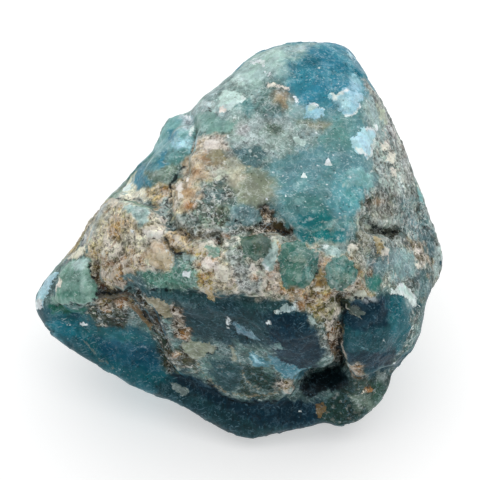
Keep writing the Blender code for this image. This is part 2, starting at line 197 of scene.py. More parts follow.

# areas of the stone's front, drawn one over the other: colour, finish, softness, outline
frontAreas = [
    ("slateBlue", "misty", 9, "150,60 300,20 400,60 460,250 430,440 20,440 20,200"),
    # the broad upper face
    ("faceBlue", "glass", 5, "262,40 345,30 375,95 385,150 372,190 358,215 346,246 292,244 285,226 "
        "270,205 "
        "262,190 270,160 262,120 290,100"),
    ("deepSky", "glass", 7, "290,72 296,60 307,52 318,40 348,40 356,55 366,78 366,96 345,96 332,106 "
        "318,105 "
        "304,103 294,98 289,84"),
    ("deepSky", "glass", 8, "300,58 326,54 340,66 330,86 306,80"),
    ("brightBlue", "glass", 3, "349,74 360,78 363,90 352,92"),
    ("paleJade", "glass", 6, "232,76 240,58 262,44 285,38 312,38 308,50 298,57 294,66 286,76 270,74 "
        "262,84 "
        "250,90 236,86"),
    ("paleCyan", "misty", 4, "286,44 304,40 310,48 296,54 286,52"),
    ("paleSea", "misty", 4, "230,78 240,72 250,78 248,86 236,88"),
    ("flakeMid", "glass", 5, "286,60 298,58 300,70 292,78 284,72"),
    ("greyTeal", "misty", 6, "186,108 204,90 228,76 240,86 262,86 270,92 262,100 254,112 236,118 "
        "214,118 194,128"),
    ("mist", "misty", 5, "228,116 262,116 292,112 304,130 298,150 270,160 262,146 236,146 226,136"),
    ("seaMist", "glass", 3, "196,114 211,112 225,120 238,122 232,130 224,134 214,136 204,130 192,126"),
    ("sageGreen", "misty", 2, "221,133 232,129 230,135 224,137"),
    ("seaTeal", "glass", 4, "237,104 249,100 256,107 250,116 241,112"),
    ("slateBlue", "misty", 4, "262,91 271,95 272,105 278,111 262,113 252,110 256,100"),
    ("clayGrey", "misty", 3, "271,90 280,89 290,93 293,100 292,109 285,112 278,108 271,100"),
    ("clayTan", "misty", 3, "276,94 286,95 287,104 280,104"),
    ("sageGreen", "misty", 3, "264,121 283,123 281,133 266,133"),
    ("smoke", "misty", 3, "235,125 247,124 248,133 236,134"),
    ("greyTeal", "misty", 4, "290,104 303,108 302,122 318,132 316,146 296,154 276,160 270,152 290,144 "
        "296,130 "
        "290,118"),
    ("stormBlue", "fibre", 2, "234,149 250,147 263,144 266,156 258,161 262,168 252,172 241,169 239,158"),
    ("olive", "misty", 5, "303,120 320,118 330,121 332,127 322,131 308,130 302,125"),
    ("leafGreen", "glass", 6, "331,118 356,114 356,130 350,142 344,152 330,154 318,142 322,133 331,128"),
    ("faceBlue", "glass", 6, "284,158 300,150 322,150 350,152 372,164 374,190 358,215 300,226 285,222 "
        "272,208 "
        "278,184"),
    ("faceBlue", "glass", 6, "296,164 330,162 336,178 320,186 290,184"),
    ("seaTeal", "glass", 6, "278,196 300,190 332,192 330,214 302,216 286,220"),
    ("softBlue", "glass", 4, "336,180 352,176 366,180 370,190 360,205 356,214 338,213 328,204 332,194"),
    ("deepTeal", "glass", 3, "300,213 326,212 338,220 346,230 344,243 322,245 303,241 295,232 293,222"),
    ("deepTeal", "glass", 3, "306,228 334,227 342,240 322,243 308,238"),
    ("leafGreen", "misty", 3, "294,226 310,228 330,226 352,218 352,226 332,231 305,231"),
    ("paleCyan", "misty", 2, "330,219 338,220 338,227 331,226"),
    # the tan and grey ground left of it
    ("pinkGrey", "misty", 5, "222,150 238,158 244,172 238,182 222,184 214,172"),
    ("olive", "glass", 6, "226,170 262,170 276,180 276,202 262,207 245,204 233,196 224,184"),
    ("sand", "misty", 5, "226,172 240,168 246,180 236,186 226,182"),
    ("olive", "misty", 3, "236,188 249,192 251,205 240,205 232,195"),
    ("bone", "crust", 4, "194,140 206,134 226,137 231,150 214,150 206,153 194,152"),
    ("clayTan", "misty", 4, "184,160 196,150 208,152 217,168 213,180 196,183 183,176"),
    ("sand", "crust", 4, "204,164 224,160 228,176 212,183 203,178"),
    ("cream", "misty", 4, "210,168 226,166 230,178 214,182"),
    ("clayTan", "misty", 4, "172,182 192,178 202,188 198,208 190,218 172,218 168,200"),
    ("paleCrust", "crust", 3, "171,199 181,200 178,218 171,219"),
    ("blueGrey", "grit", 3, "202,182 225,179 231,190 233,202 215,203 202,197"),
    ("sageGreen", "grit", 3, "192,200 226,204 230,214 224,226 205,229 190,224 190,210"),
    ("wetGrey", "misty", 2, "232,206 260,208 262,216 257,223 245,224 234,218 226,212"),
    ("stoneGrey", "grit", 3, "178,214 192,212 198,224 190,228 174,226"),
    ("clayGrey", "grit", 3, "172,222 186,226 222,229 240,226 262,226 262,232 240,232 216,236 205,241 "
        "190,240 "
        "182,233"),
    # painted shadow in the wedge under the broad face's lower edge, darkest in the earth area
    ("pitShade", "grit", 1.5, "262,206 270,207 273,214 280,222 287,227 293,229 291,236 275,235 262,232 "
        "257,226 "
        "262,218"),
    ("earth", "grit", 1.5, "270,222 280,224 290,230 291,235 280,234 272,230"),
    ("clayTan", "grit", 2, "262,211 269,211 272,219 264,222"),
    ("umber", "crust", 2, "248,226 262,229 276,235 262,238 250,233"),
    # the cream band with grains
    ("cream", "crust", 4, "186,240 215,240 245,235 300,243 355,244 372,256 377,282 352,300 330,322 "
        "314,316 "
        "302,308 296,297 262,300 240,292 215,300 202,290 196,276 188,266"),
    ("stoneGrey", "grit", 4, "228,240 240,244 246,262 262,278 260,292 240,290 230,278 222,262"),
    ("smoke", "grit", 3, "232,262 250,268 262,280 258,291 240,289 231,278"),
    ("bone", "crust", 3, "215,261 232,270 233,283 222,287 213,279"),
    ("ochre", "crust", 3, "190,245 203,248 205,257 196,257 189,250"),
    ("ochre", "crust", 3, "198,271 212,276 214,284 204,287 195,280"),
    ("sand", "crust", 3, "262,274 285,281 299,292 290,299 274,293"),
    ("gold", "crust", 3, "274,282 286,284 298,292 290,298 278,292"),
    ("clayGrey", "misty", 1.5, "275,236 290,237 300,242 285,244 276,241"),
    ("greyTeal", "misty", 3, "318,243 350,243 352,250 340,258 330,256 318,253"),
    ("tan", "crust", 4, "356,254 370,258 373,280 362,286 355,276"),
    ("oldGold", "crust", 4, "302,292 324,290 342,294 346,302 338,318 326,322 312,316 304,304"),
    ("oldGold", "crust", 3, "358,285 372,284 375,297 362,299 351,295"),
    ("jade", "misty", 3, "139,270 172,268 190,262 202,276 196,289 165,290 148,285"),
    ("paleGrain", "grit", 3, "180,256 196,253 198,268 184,270"),
    # the left lumps and crust
    ("smoke", "misty", 3, "106,196 122,197 110,211 103,219 97,230 88,240 78,251 62,262 70,244 90,214"),
    ("paleCrust", "crust", 4, "108,206 120,200 150,206 162,222 168,240 173,256 172,268 134,270 120,282 "
        "97,290 91,265 "
        "84,250 96,228"),
    ("paleCrust", "crust", 4, "112,222 136,224 148,240 152,262 130,266 112,262 98,250 101,232"),
    ("honey", "crust", 3, "110,219 122,220 122,236 108,238"),
    ("honey", "crust", 3, "87,248 98,250 98,262 90,260"),
    ("paleCrust", "crust", 2.5, "160,240 168,250 173,262 171,269 158,268 152,256"),
    ("honey", "crust", 1.5, "162,240 165,234 172,231 178,229 186,234 189,243 187,250 178,252 170,249 "
        "165,246"),
    ("copper", "crust", 3, "92,262 100,258 112,262 130,261 137,272 128,279 122,286 110,291 98,286 "
        "93,275"),
    ("tan", "crust", 3, "104,266 122,264 124,282 106,282"),
    ("greyTeal", "misty", 2.5, "122,206 128,203 140,202 149,204 152,211 147,223 138,226 133,216 127,212"),
    ("lumpBlue", "glass", 2, "150,152 156,136 160,122 166,112 182,108 192,112 195,126 192,142 189,151"),
    ("lumpBlue", "glass", 4, "155,152 157,138 161,126 168,118 178,120 180,138 174,150"),
    ("deepSky", "glass", 3, "168,130 178,130 178,139 168,139"),
    ("iceBlue", "misty", 3, "174,140 190,134 190,149 176,149"),
    ("paleBlueGrey", "misty", 3, "180,114 191,112 191,130 181,128"),
    ("deepSky", "glass", 3, "120,190 138,163 154,150 166,151 168,168 150,182 132,190"),
    ("seaTeal", "glass", 4, "138,163 154,151 164,152 158,164 142,172"),
    ("leafGreen", "glass", 3, "168,151 187,151 184,158 180,166 168,166"),
    ("sageGreen", "misty", 3, "150,170 168,163 180,166 172,180 152,187"),
    ("paleCrust", "misty", 2.5, "116,196 130,188 152,188 150,200 128,199"),
    ("honey", "crust", 2.5, "148,186 168,184 170,198 156,206 150,200"),
    ("mist", "grit", 2, "162,200 172,202 173,216 162,221 159,212"),
    ("clayTan", "misty", 3, "186,158 206,152 208,168 196,177 184,172"),
    # the blue slab along the lower left
    ("petrol", "glass", 4, "20,312 54,306 86,306 100,322 130,326 150,332 162,350 178,382 205,392 "
        "240,404 262,406 "
        "290,399 312,405 350,430 254,450 100,400"),
    ("crystalBlue", "glass", 6, "25,306 46,306 56,322 84,350 100,366 70,366 36,330"),
    ("bottleGreen", "glass", 3, "50,305 86,305 84,314 52,313"),
    ("oceanBlue", "glass", 4, "54,312 88,314 84,322 56,320"),
    ("lagoon", "glass", 5, "42,324 60,318 78,324 80,338 58,338"),
    ("oceanBlue", "glass", 5, "76,330 100,326 140,336 152,344 130,350 100,352 84,344"),
    ("midnight", "glass", 5, "92,336 115,338 150,345 166,360 160,372 130,368 104,356"),
    ("petrol", "glass", 4, "108,368 140,374 160,388 150,393 125,382"),
    ("slate", "fibre", 4, "160,380 205,394 240,405 268,407 300,402 350,430 254,450 150,404"),
    ("navy", "fibre", 5, "176,374 205,380 240,403 262,405 300,398 330,402 336,420 300,428 256,424 "
        "216,402"),
    ("navy", "fibre", 4, "168,368 186,374 202,378 216,386 240,400 300,402 296,408 240,408 200,396 "
        "176,384"),
    ("mossGrey", "grit", 4, "87,303 100,299 128,300 134,314 126,326 100,326 88,316"),
    ("bronze", "crust", 3, "100,292 136,293 138,304 114,305 104,312 96,306"),
    ("stormBlue", "fibre", 2, "121,276 134,271 146,285 140,292 126,286"),
    ("oliveDark", "grit", 4, "152,326 166,328 172,345 178,368 166,372 158,350"),
    ("darkGrit", "grit", 2, "131,291 140,290 150,300 158,312 168,327 164,338 150,322 139,306"),
    ("steelTeal", "fibre", 2, "135,285 150,290 175,291 205,292 226,296 222,304 170,302 150,298 140,292"),
    ("slate", "fibre", 5, "176,303 224,300 234,318 232,345 212,342 192,338 178,326"),
    ("mossGrey", "grit", 4, "160,346 182,346 200,362 196,372 176,368"),
    ("bronze", "crust", 3, "170,302 181,308 182,320 190,330 186,343 176,338 170,322"),
    # the dark blue mass in the middle
    ("slate", "fibre", 4, "224,294 262,300 300,300 308,315 290,322 276,345 250,346 230,338 222,316"),
    ("steelTeal", "fibre", 4, "228,296 250,298 284,301 300,306 280,312 240,308"),
    ("navy", "fibre", 4, "268,312 306,310 324,330 330,350 318,366 290,372 270,352"),
    ("slate", "fibre", 4, "232,320 250,322 262,336 250,346 236,342"),
    ("steelTeal", "fibre", 3, "208,358 240,362 242,385 226,390 212,380"),
    ("steelTeal", "misty", 4, "214,364 226,364 230,376 218,378"),
    ("darkGreen", "misty", 3, "238,364 262,368 278,374 290,384 270,391 254,389 244,378"),
    ("oliveDark", "misty", 3, "240,376 250,388 262,395 284,392 276,400 250,400 238,392"),
    ("darkGrit", "crust", 2.5, "276,379 292,379 296,386 284,392 276,388"),
    ("blueGrey", "grit", 2.5, "306,314 318,318 328,330 334,344 330,358 322,346 314,328"),
    ("mossGrey", "grit", 3, "321,318 334,316 342,330 344,350 340,366 331,350 325,335"),
    ("darkGrit", "crust", 2.5, "324,318 340,318 345,330 342,365 336,352 328,336"),
    # painted shadow in the hollow under the dark blue mass
    ("creviceShade", "glass", 3, "302,381 314,373 330,370 338,366 346,373 351,381 346,393 334,391 320,396 "
        "305,396 299,388"),
    # the blue crystal and the lobe at the lower right
    ("crystalBlue", "glass", 3, "340,318 352,312 372,300 392,290 412,296 424,308 416,336 408,356 "
        "394,368 372,379 "
        "350,375 342,352"),
    ("navy", "glass", 4, "345,302 385,296 392,310 388,326 350,332 342,320"),
    ("oceanBlue", "glass", 5, "388,296 408,300 417,312 412,340 400,356 390,346"),
    ("crystalBlue", "fibre", 4, "348,334 386,332 392,350 360,352"),
    ("navy", "fibre", 4, "343,352 396,352 390,370 350,372"),
    ("slateBlue", "grit", 3, "412,308 424,312 420,328 412,344 402,358 392,370 390,362 402,350 410,330"),
    ("steelTeal", "crust", 3, "346,364 358,364 366,380 354,378"),
    ("darkGreen", "misty", 4, "343,390 352,378 372,379 396,372 393,384 382,404 359,424 340,430 318,420 "
        "322,402"),
    ("sageGreen", "misty", 4, "352,394 366,392 374,398 370,410 355,411"),
    ("pineGreen", "misty", 3, "371,384 386,382 386,398 374,404"),
    ("oliveDark", "misty", 3, "350,380 366,379 372,386 366,394 356,393"),
    # the grey side at the right
    ("stoneGrey", "grit", 4, "368,188 392,178 424,190 440,220 450,245 438,292 430,308 414,292 385,290 "
        "372,278 "
        "358,254 356,218"),
    ("greyTeal", "misty", 4, "362,92 378,104 390,130 396,152 384,166 372,168 372,156 378,134 364,120"),
    ("mist", "grit", 4, "376,138 392,136 404,160 418,184 400,194 384,188 374,170"),
    ("smoke", "grit", 3, "360,58 372,72 388,100 404,138 424,182 412,186 396,150 380,114 366,86"),
    ("wetGrey", "grit", 4, "394,196 424,198 430,232 410,238 396,224"),
    ("clayGrey", "grit", 2.5, "366,200 378,192 392,194 392,212 386,222 374,220 366,212"),
    # painted shade in the recess under the ledge
    ("oliveDark", "grit", 1.5, "360,206 370,195 376,190 378,196 368,206 362,212"),
    ("stoneGrey", "grit", 2.5, "376,226 400,228 408,236 400,243 386,238 378,232"),
    ("cream", "misty", 1.5, "357,217 368,222 376,231 381,238 372,233 359,226"),
    ("olive", "grit", 2.5, "360,224 372,233 374,250 364,252 358,240"),
    ("tan", "crust", 3, "408,236 424,240 430,262 420,264 410,250"),
    ("stormBlue", "misty", 3, "420,230 434,234 433,258 423,258"),
    ("oldGold", "crust", 3, "424,258 439,260 438,281 426,280"),
    ("stormBlue", "misty", 3, "414,268 430,270 431,300 420,300"),
    ("wetGrey", "misty", 3, "370,256 386,258 388,274 374,277"),
    ("paleCyan", "misty", 4, "388,246 412,248 414,278 394,282 386,266"),
    ("grainSea", "glass", 2.5, "366,275 381,276 380,292 370,293"),
    ("mist", "misty", 1.5, "433,240 440,246 445,256 445,268 440,277 434,281 431,268 433,252"),
]

# grains, chips and flakes with sharp edges, with painted highlights on flake edges and painted shade in pits,
# later ones on top: colour, outline
frontPatches = [
    ("paleSea", "220,92 226,91 232,90 240,93 247,97 244,101 238,103 235,106 231,110 225,110 221,112 "
        "219,105"),
    ("frost", "240,95 247,97 246,101 240,102"),
    ("bone", "220,107 226,108 225,112 220,112"),
    ("frost", "251,60 262,58 267,62 264,66 256,64 251,63"),
    ("frost", "265,72 267,72 271,76 268,76"),
    ("bone", "266,83 275,83 279,86 268,88"),
    ("bone", "276,85 290,87 291,91 278,88"),
    ("frost", "293,98 298,99 299,104 294,102"),
    ("paleCyan", "294,105 303,106 303,118 296,119 291,112"),
    ("frost", "232,115 237,115 238,120 234,119"),
    ("earth", "209,107 211,109 211,112 209,111"),
    ("brightBlue", "304,105 309,101 315,103 322,109 324,114 320,117 311,118 305,116"),
    ("paleJade", "309,102 315,104 318,109 312,112 306,108"),
    ("brightBlue", "329,93 335,93 343,88 349,87 352,90 358,93 366,93 363,98 360,103 356,112 350,116 "
        "343,115 "
        "337,110 336,105 331,98"),
    ("iceBlue", "341,99 352,97 350,106 346,113 340,108"),
    ("iceBlue", "353,95 362,95 357,104 353,103"),
    # painted highlights on the edges of the blue flakes
    ("frost", "329,92 333,93 337,101 334,101"),
    ("brightBlue", "351,73 355,72 359,76 354,77"),
    ("iceBlue", "360,128 372,127 377,131 375,138 371,143 370,153 366,159 362,155 354,151 350,147 "
        "349,141 356,136"),
    # painted highlights on the flake edges, here and in the frost slivers below
    ("frost", "354,145 360,148 366,155 363,156 356,150"),
    ("frost", "374,124 378,127 378,131 375,130"),
    ("frost", "330,93 342,90 348,88 350,90 342,93 332,96"),
    ("frost", "344,114 350,114 357,109 360,103 361,106 356,113 350,117 344,117"),
    ("frost", "366,127 373,127 377,131 376,135 372,131 364,130"),
    ("frost", "370,150 372,142 375,138 376,141 373,149 371,157 366,160"),
    ("frost", "306,105 310,102 318,104 323,109 318,107 310,104"),
    ("iceBlue", "345,48 352,53 358,61 355,62 348,55"),
    ("paleSea", "293,138 300,136 306,142 303,147 296,144"),
    ("lumpBlue", "342,184 350,178 354,185 348,190"),
    ("cream", "376,104 383,110 390,124 387,126 379,114"),
    ("bone", "380,143 388,141 390,150 383,152"),
    ("bone", "388,150 396,155 394,165 386,160"),
    ("bone", "391,168 396,169 397,177 393,176"),
    # beside and below the broad face
    ("lumpBlue", "347,170 356,167 366,169 373,176 374,186 368,190 358,187 349,182"),
    ("bone", "204,142 215,139 223,143 214,151 202,149"),
    ("tan", "209,151 220,149 227,159 221,166 210,163"),
    ("bone", "176,185 179,180 183,183 182,196 178,200 177,192"),
    ("bone", "183,176 189,175 188,181 183,180"),
    ("frost", "190,124 194,126 193,134 190,136"),
    ("frost", "185,115 190,116 189,120 185,119"),
    ("frost", "120,189 129,183 130,189 122,192"),
    ("bone", "208,240 214,240 216,246 212,249"),
    # painted shade in small notches
    ("pitShade", "216,237 223,238 219,244 216,243"),
    ("pitShade", "213,211 216,213 217,217 214,215"),
    ("pineGreen", "241,236 262,234 273,240 274,248 266,256 255,259 243,258"),
    ("paleJade", "275,240 279,248 276,262 271,274 264,268 262,262 268,254"),
    ("frost", "262,262 268,266 272,273 266,271"),
    ("grainSea", "282,243 298,242 311,248 319,258 317,271 309,284 297,291 286,287 278,275 278,256"),
    ("grainSea", "325,263 334,257 346,257 355,264 358,274 354,284 342,290 331,288 323,279"),
    ("gold", "319,268 316,274 314,283 320,286 328,283 323,276"),
    ("bone", "313,287 322,286 320,292 314,291"),
    ("bone", "346,245 356,245 355,251 348,250"),
    ("frost", "323,245 330,245 329,248 323,248"),
    ("paleGrain", "205,246 218,246 220,256 210,258"),
    ("bone", "226,240 231,240 230,246 226,245"),
    ("bone", "204,258 212,256 214,268 206,270 202,264"),
    ("paleJade", "183,255 195,253 196,260 184,262"),
    ("frost", "182,272 192,271 190,278 184,277"),
    ("bone", "214,264 224,264 230,272 229,280 222,283 214,276"),
    ("bone", "250,262 260,268 256,276 248,270"),
    ("cream", "353,292 366,289 367,298 356,300"),
    ("gold", "205,288 213,288 215,300 208,298"),
    # the crust at the left and its lumps
    # painted shade in the crevice beside the crack
    ("pitShade", "163,236 167,236 170,246 177,252 186,253 178,256 168,250"),
    ("clayTan", "148,246 156,240 164,244 170,252 173,262 168,270 158,269 150,263 142,256"),
    ("bone", "141,229 150,231 163,231 161,237 150,238 144,236"),
    ("bone", "156,216 166,218 170,224 160,224"),
    ("frost", "131,230 134,230 134,234 131,233"),
    ("bone", "128,252 133,252 133,258 128,257"),
    ("bone", "101,251 105,251 105,256 101,256"),
    ("paleCrust", "90,259 94,260 93,266 90,264"),
    ("paleCrust", "66,258 84,244 88,250 76,260"),
    ("paleGrain", "88,256 91,262 89,270 93,280 97,287 99,296 93,300 87,303 80,304 72,303 62,305 54,304 "
        "52,298 "
        "58,290 61,282 58,277 65,265 75,259"),
    ("paleJade", "72,262 86,257 90,262 86,269 74,270"),
    ("jade", "58,294 74,290 88,293 86,302 74,303 60,304"),
    ("jade", "91,284 97,289 98,296 93,300 91,292"),
    ("bone", "55,296 57,286 60,279 62,281 59,290"),
    ("iceBlue", "38,306 36,296 44,282 52,272 57,274 50,288 44,300 42,306"),
    ("frost", "35,302 41,297 41,309 36,312"),
    ("earth", "97,287 103,284 109,288 131,291 126,298 105,298 98,299"),
    ("copper", "127,303 131,300 137,306 145,316 152,325 150,329 142,320 134,311"),
    ("tan", "145,297 158,298 167,303 172,312 170,320 162,317 155,311 149,304"),
    ("olive", "181,346 190,338 200,341 208,341 216,347 212,352 207,353 202,358 195,361 188,356"),
    ("stoneGrey", "170,382 180,385 188,390 187,395 180,394 172,388"),
    ("frost", "81,322 85,322 86,325 83,326"),
    # in the dark blue
    ("paleBlueGrey", "275,311 280,309 283,306 288,305 296,307 300,310 292,310 286,311 281,313 276,313"),
    ("frost", "274,309 279,308 278,312 275,313"),
    ("frost", "290,300 297,302 299,308 294,306"),
    ("frost", "268,320 271,321 270,324 268,323"),
    ("frost", "226,319 229,318 230,323 229,328 227,327"),
    ("flakeDeep", "231,322 240,325 248,331 256,336 260,340 248,338 238,333"),
    ("flakeMid", "236,325 242,328 250,334 244,333"),
    ("flakeMid", "249,352 255,352 258,357 266,361 271,365 262,368 254,365 249,358"),
    ("brightBlue", "250,354 254,355 258,360 264,364 256,363"),
    ("flakeMid", "268,354 278,358 290,365 300,369 311,367 304,375 297,379 288,377 278,372 272,365"),
    ("flakeMid", "284,368 296,371 306,371 298,376 288,374"),
    ("stormBlue", "270,346 280,344 284,349 274,351"),
    ("olive", "229,346 232,346 235,356 236,361 232,358"),
    ("sand", "330,332 333,333 335,340 331,340"),
    ("mist", "306,315 313,318 320,326 313,324"),
    ("shadowGrey", "348,304 358,306 366,313 359,318 350,312"),
    ("slateDark", "341,297 351,298 352,306 345,313 341,306"),
    # the crystal, the lobe and the grey side
    ("frost", "388,291 395,288 399,284 404,283 410,288 416,296 418,306 413,307 406,298 398,294 392,293"),
    ("paleSea", "398,288 405,286 410,292 414,299 408,297 400,291"),
    ("stoneGrey", "376,373 385,372 388,378 382,381 376,378"),
    ("bone", "362,391 365,390 366,393 363,394"),
    ("rust", "366,388 371,388 371,391 367,391"),
    ("copper", "314,404 325,403 328,412 318,417"),
    ("frost", "410,327 413,327 412,330"),
    ("frost", "393,362 396,362 395,365"),
    ("gold", "374,236 381,237 383,248 380,256 376,250"),
    ("bone", "383,247 390,249 387,257 382,255"),
    ("bone", "415,244 418,249 422,248 420,253 421,256 416,253"),
    ("bone", "415,262 420,264 419,269 415,268"),
    ("lumpBlue", "416,186 420,188 427,202 425,205 419,196"),
    ("slate", "441,260 445,260 444,267 441,266"),
]

# small white chips: x, y and size in pixels
whiteChips = pixels("328,163,5.6 304,176,4.6 289,168,2.2 372,171,2.4 350,177,2.6 283,176,2 281,186,1.6 "
        "315,173,1.8 318,165,1.8 333,155,2 335,172,2 327,184,1.6 366,101,1.8 "
    "228,137,2.4 186,116,2 203,111,1.8 266,115,2.6 319,67,1.6 344,295,2 300,411,2.4 163,163,1.8 "
        "212,207,2 "
    "267,199,2.6 271,202,1.8 229,88,1.5 316,133,2 254,58,1.5 305,208,2 298,206,1.5 340,213,1.6 "
        "383,340,1.8 "
    "286,196,1.6 273,172,2 133,232,2.2 103,254,2 83,323,2.4 70,325,1.8 310,80,1.5 327,247,2")

# soft stains: colour, strength, and the pixel with the half width and half height of each
stains = [
    ("ochre", 0.6, "104,226,7,12 118,234,8,8 98,246,6,8 132,250,9,7 172,244,7,5 128,222,8,5 194,252,8,5"),
    ("tan", 0.6, "124,256,10,6 104,256,7,7 140,266,9,4 108,272,9,7 150,226,8,4"),
    ("rust", 0.7, "254,277,6,4 282,291,6,4 302,305,7,5 296,289,6,4 192,206,7,5 166,188,5,4 94,255,4,6 "
        "226,236,6,3"),
    ("rust", 0.5, "306,301,9,6 296,296,8,4 336,345,4,14 204,158,5,5 193,171,7,4 188,193,6,5 155,192,9,4 "
        "114,230,7,9 112,263,8,3 130,270,5,4 378,202,6,4"),
    ("rust", 0.6, "122,300,6,6 107,310,5,3 186,334,6,6 176,354,4,3 318,284,4,4 187,205,5,4 281,291,5,3 "
        "368,389,4,3"),
    ("redBrown", 0.8, "104,287,5,4 164,188,4,3 286,232,6,3"),
    ("earth", 0.7, "346,304,5,4 262,206,6,2 338,340,3,14 170,182,2.5,2.5 152,200,2.4,2 368,386,3,3"),
    ("frost", 0.4, "204,104,9,4 410,300,5,8 370,300,8,3 300,48,7,4"),
    ("mist", 0.35, "182,222,7,6 142,158,4,8 155,238,12,5 382,380,6,4 330,224,7,3"),
    ("midnight", 0.6, "74,316,9,3 120,352,16,7 312,62,12,7"),
    ("pineGreen", 0.5, "300,255,14,9 303,283,8,4 344,284,9,5"),
    ("leafGreen", 0.5, "340,268,10,6 292,274,6,5"),
    ("darkGreen", 0.7, "267,243,7,4"),
]

# cracks, clefts and lines under overhangs, painted dark as shade: half width in pixels, line
cracks = [
    (0.4, "366,219 369,223 372,226"), (1.2, "371,225 376,227 382,229"), (0.5, "382,229 391,231 401,231"),
    (0.4, "382,232 390,237"), (0.4, "378,233 386,240"), (0.4, "225,220 234,219 240,224 250,226 262,224"),
    (0.5, "272,229 281,232 291,234"), (0.9, "185,165 180,170 175,178 170,183 172,190 172,196 167,203 "
        "164,212"),
    (0.5, "160,218 171,220 172,227"), (0.4, "168,229 180,230 190,239 206,240"),
    (0.6, "165,238 168,246 174,252 181,254 187,250"), (0.3, "112,199 122,198 134,199 146,201 153,205"),
    (0.4, "143,235 150,239 156,239"), (0.6, "91,263 89,270 95,279 98,292 93,301"),
    (0.9, "98,294 110,293 122,291 131,288"), (0.4, "56,306 70,305 86,305 96,300"),
    (0.9, "150,290 162,291 176,290"),
    (0.3, "124,280 134,297 147,318 158,338"), (1.3, "340,303 346,309 341,322 339,340 342,366"),
    (0.8, "190,149 192,153"), (0.4, "319,266 316,273 313,282"), (0.6, "354,298 366,300 375,304"),
    (0.5, "206,377 215,391 228,399 244,403 262,404 278,401 292,394"), (0.4, "88,228 83,238 78,246"),
    (0.8, "301,381 316,374 338,366"), (0.3, "199,199 206,195"), (0.4, "205,354 213,353 217,348"),
    (0.3, "230,328 240,336 252,341"), (0.3, "252,106 254,112"), (0.3, "222,134 232,130"),
]

# pale or rusty lines: colour, half width in pixels, line
veins = [
    ("mist", 0.3, "296,222 312,220 330,222 346,216"), ("mist", 0.3, "300,229 318,232 336,229 344,231"),
    ("mist", 0.3, "306,237 322,240 338,238"), ("mist", 0.5, "344,243 350,230 357,216 366,202 373,190"),
    ("mist", 0.4, "276,212 284,224 292,236 300,243"), ("frost", 0.3, "128,204 138,210 150,212 160,220 "
        "168,230"),
    ("frost", 0.4, "150,232 158,238 166,248 172,258 172,268"), ("bone", 0.4, "84,238 92,226 104,216"),
    ("stoneGrey", 0.8, "84,342 92,350 98,358 106,363 116,370"),
    ("tan", 0.9, "198,362 204,374 214,385 226,391 241,396 262,396 276,393 290,386"),
    ("mist", 0.4, "214,385 230,395 250,399 262,400 275,396 284,390"),
    ("tan", 0.4, "240,362 243,375 252,386 262,391"), ("mist", 0.6, "300,244 330,244 350,244"),
    ("mist", 0.5, "57,305 70,304 82,304 94,300"), ("frost", 0.3, "121,206 126,202 134,200"),
    ("frost", 1.2, "108,213 104,228"), ("bone", 0.6, "384,128 390,145 396,160 398,172"),
    ("mist", 0.6, "412,198 417,212"), ("mist", 0.6, "415,214 420,226"), ("mist", 0.6, "405,186 409,196"),
    ("mist", 0.5, "404,176 408,190 412,204"), ("bone", 0.5, "370,264 378,256 388,262 394,272 400,280"),
    ("bone", 0.4, "386,240 396,244 408,246"), ("brightBlue", 0.6, "289,378 298,378 306,372"),
    ("flakeMid", 0.8, "356,344 366,349 379,352"), ("flakeDeep", 0.4, "132,346 144,348 156,352"),
    ("bone", 0.6, "347,305 353,313 360,319"), ("mist", 0.4, "236,347 238,360"),
    ("mist", 0.8, "202,104 212,105 216,112 223,117"), ("frost", 0.5, "249,151 256,156"),
    ("mist", 0.4, "178,214 186,213 190,220 188,227"), ("mist", 0.3, "192,224 196,228 194,236"),
    ("mist", 0.4, "300,272 313,258 320,255"), ("stormBlue", 1.2, "306,378 320,371 337,365"),
    ("paleJade", 0.3, "343,188 344,183 352,178"), ("mist", 0.3, "134,286 146,300 156,316"),
    ("mist", 0.3, "366,112 362,122 356,128"), ("sand", 0.4, "226,168 240,164 262,172"),
    ("frost", 0.5, "436,226 441,240 445,252"), ("cream", 0.4, "262,229 276,236 292,238"),
]

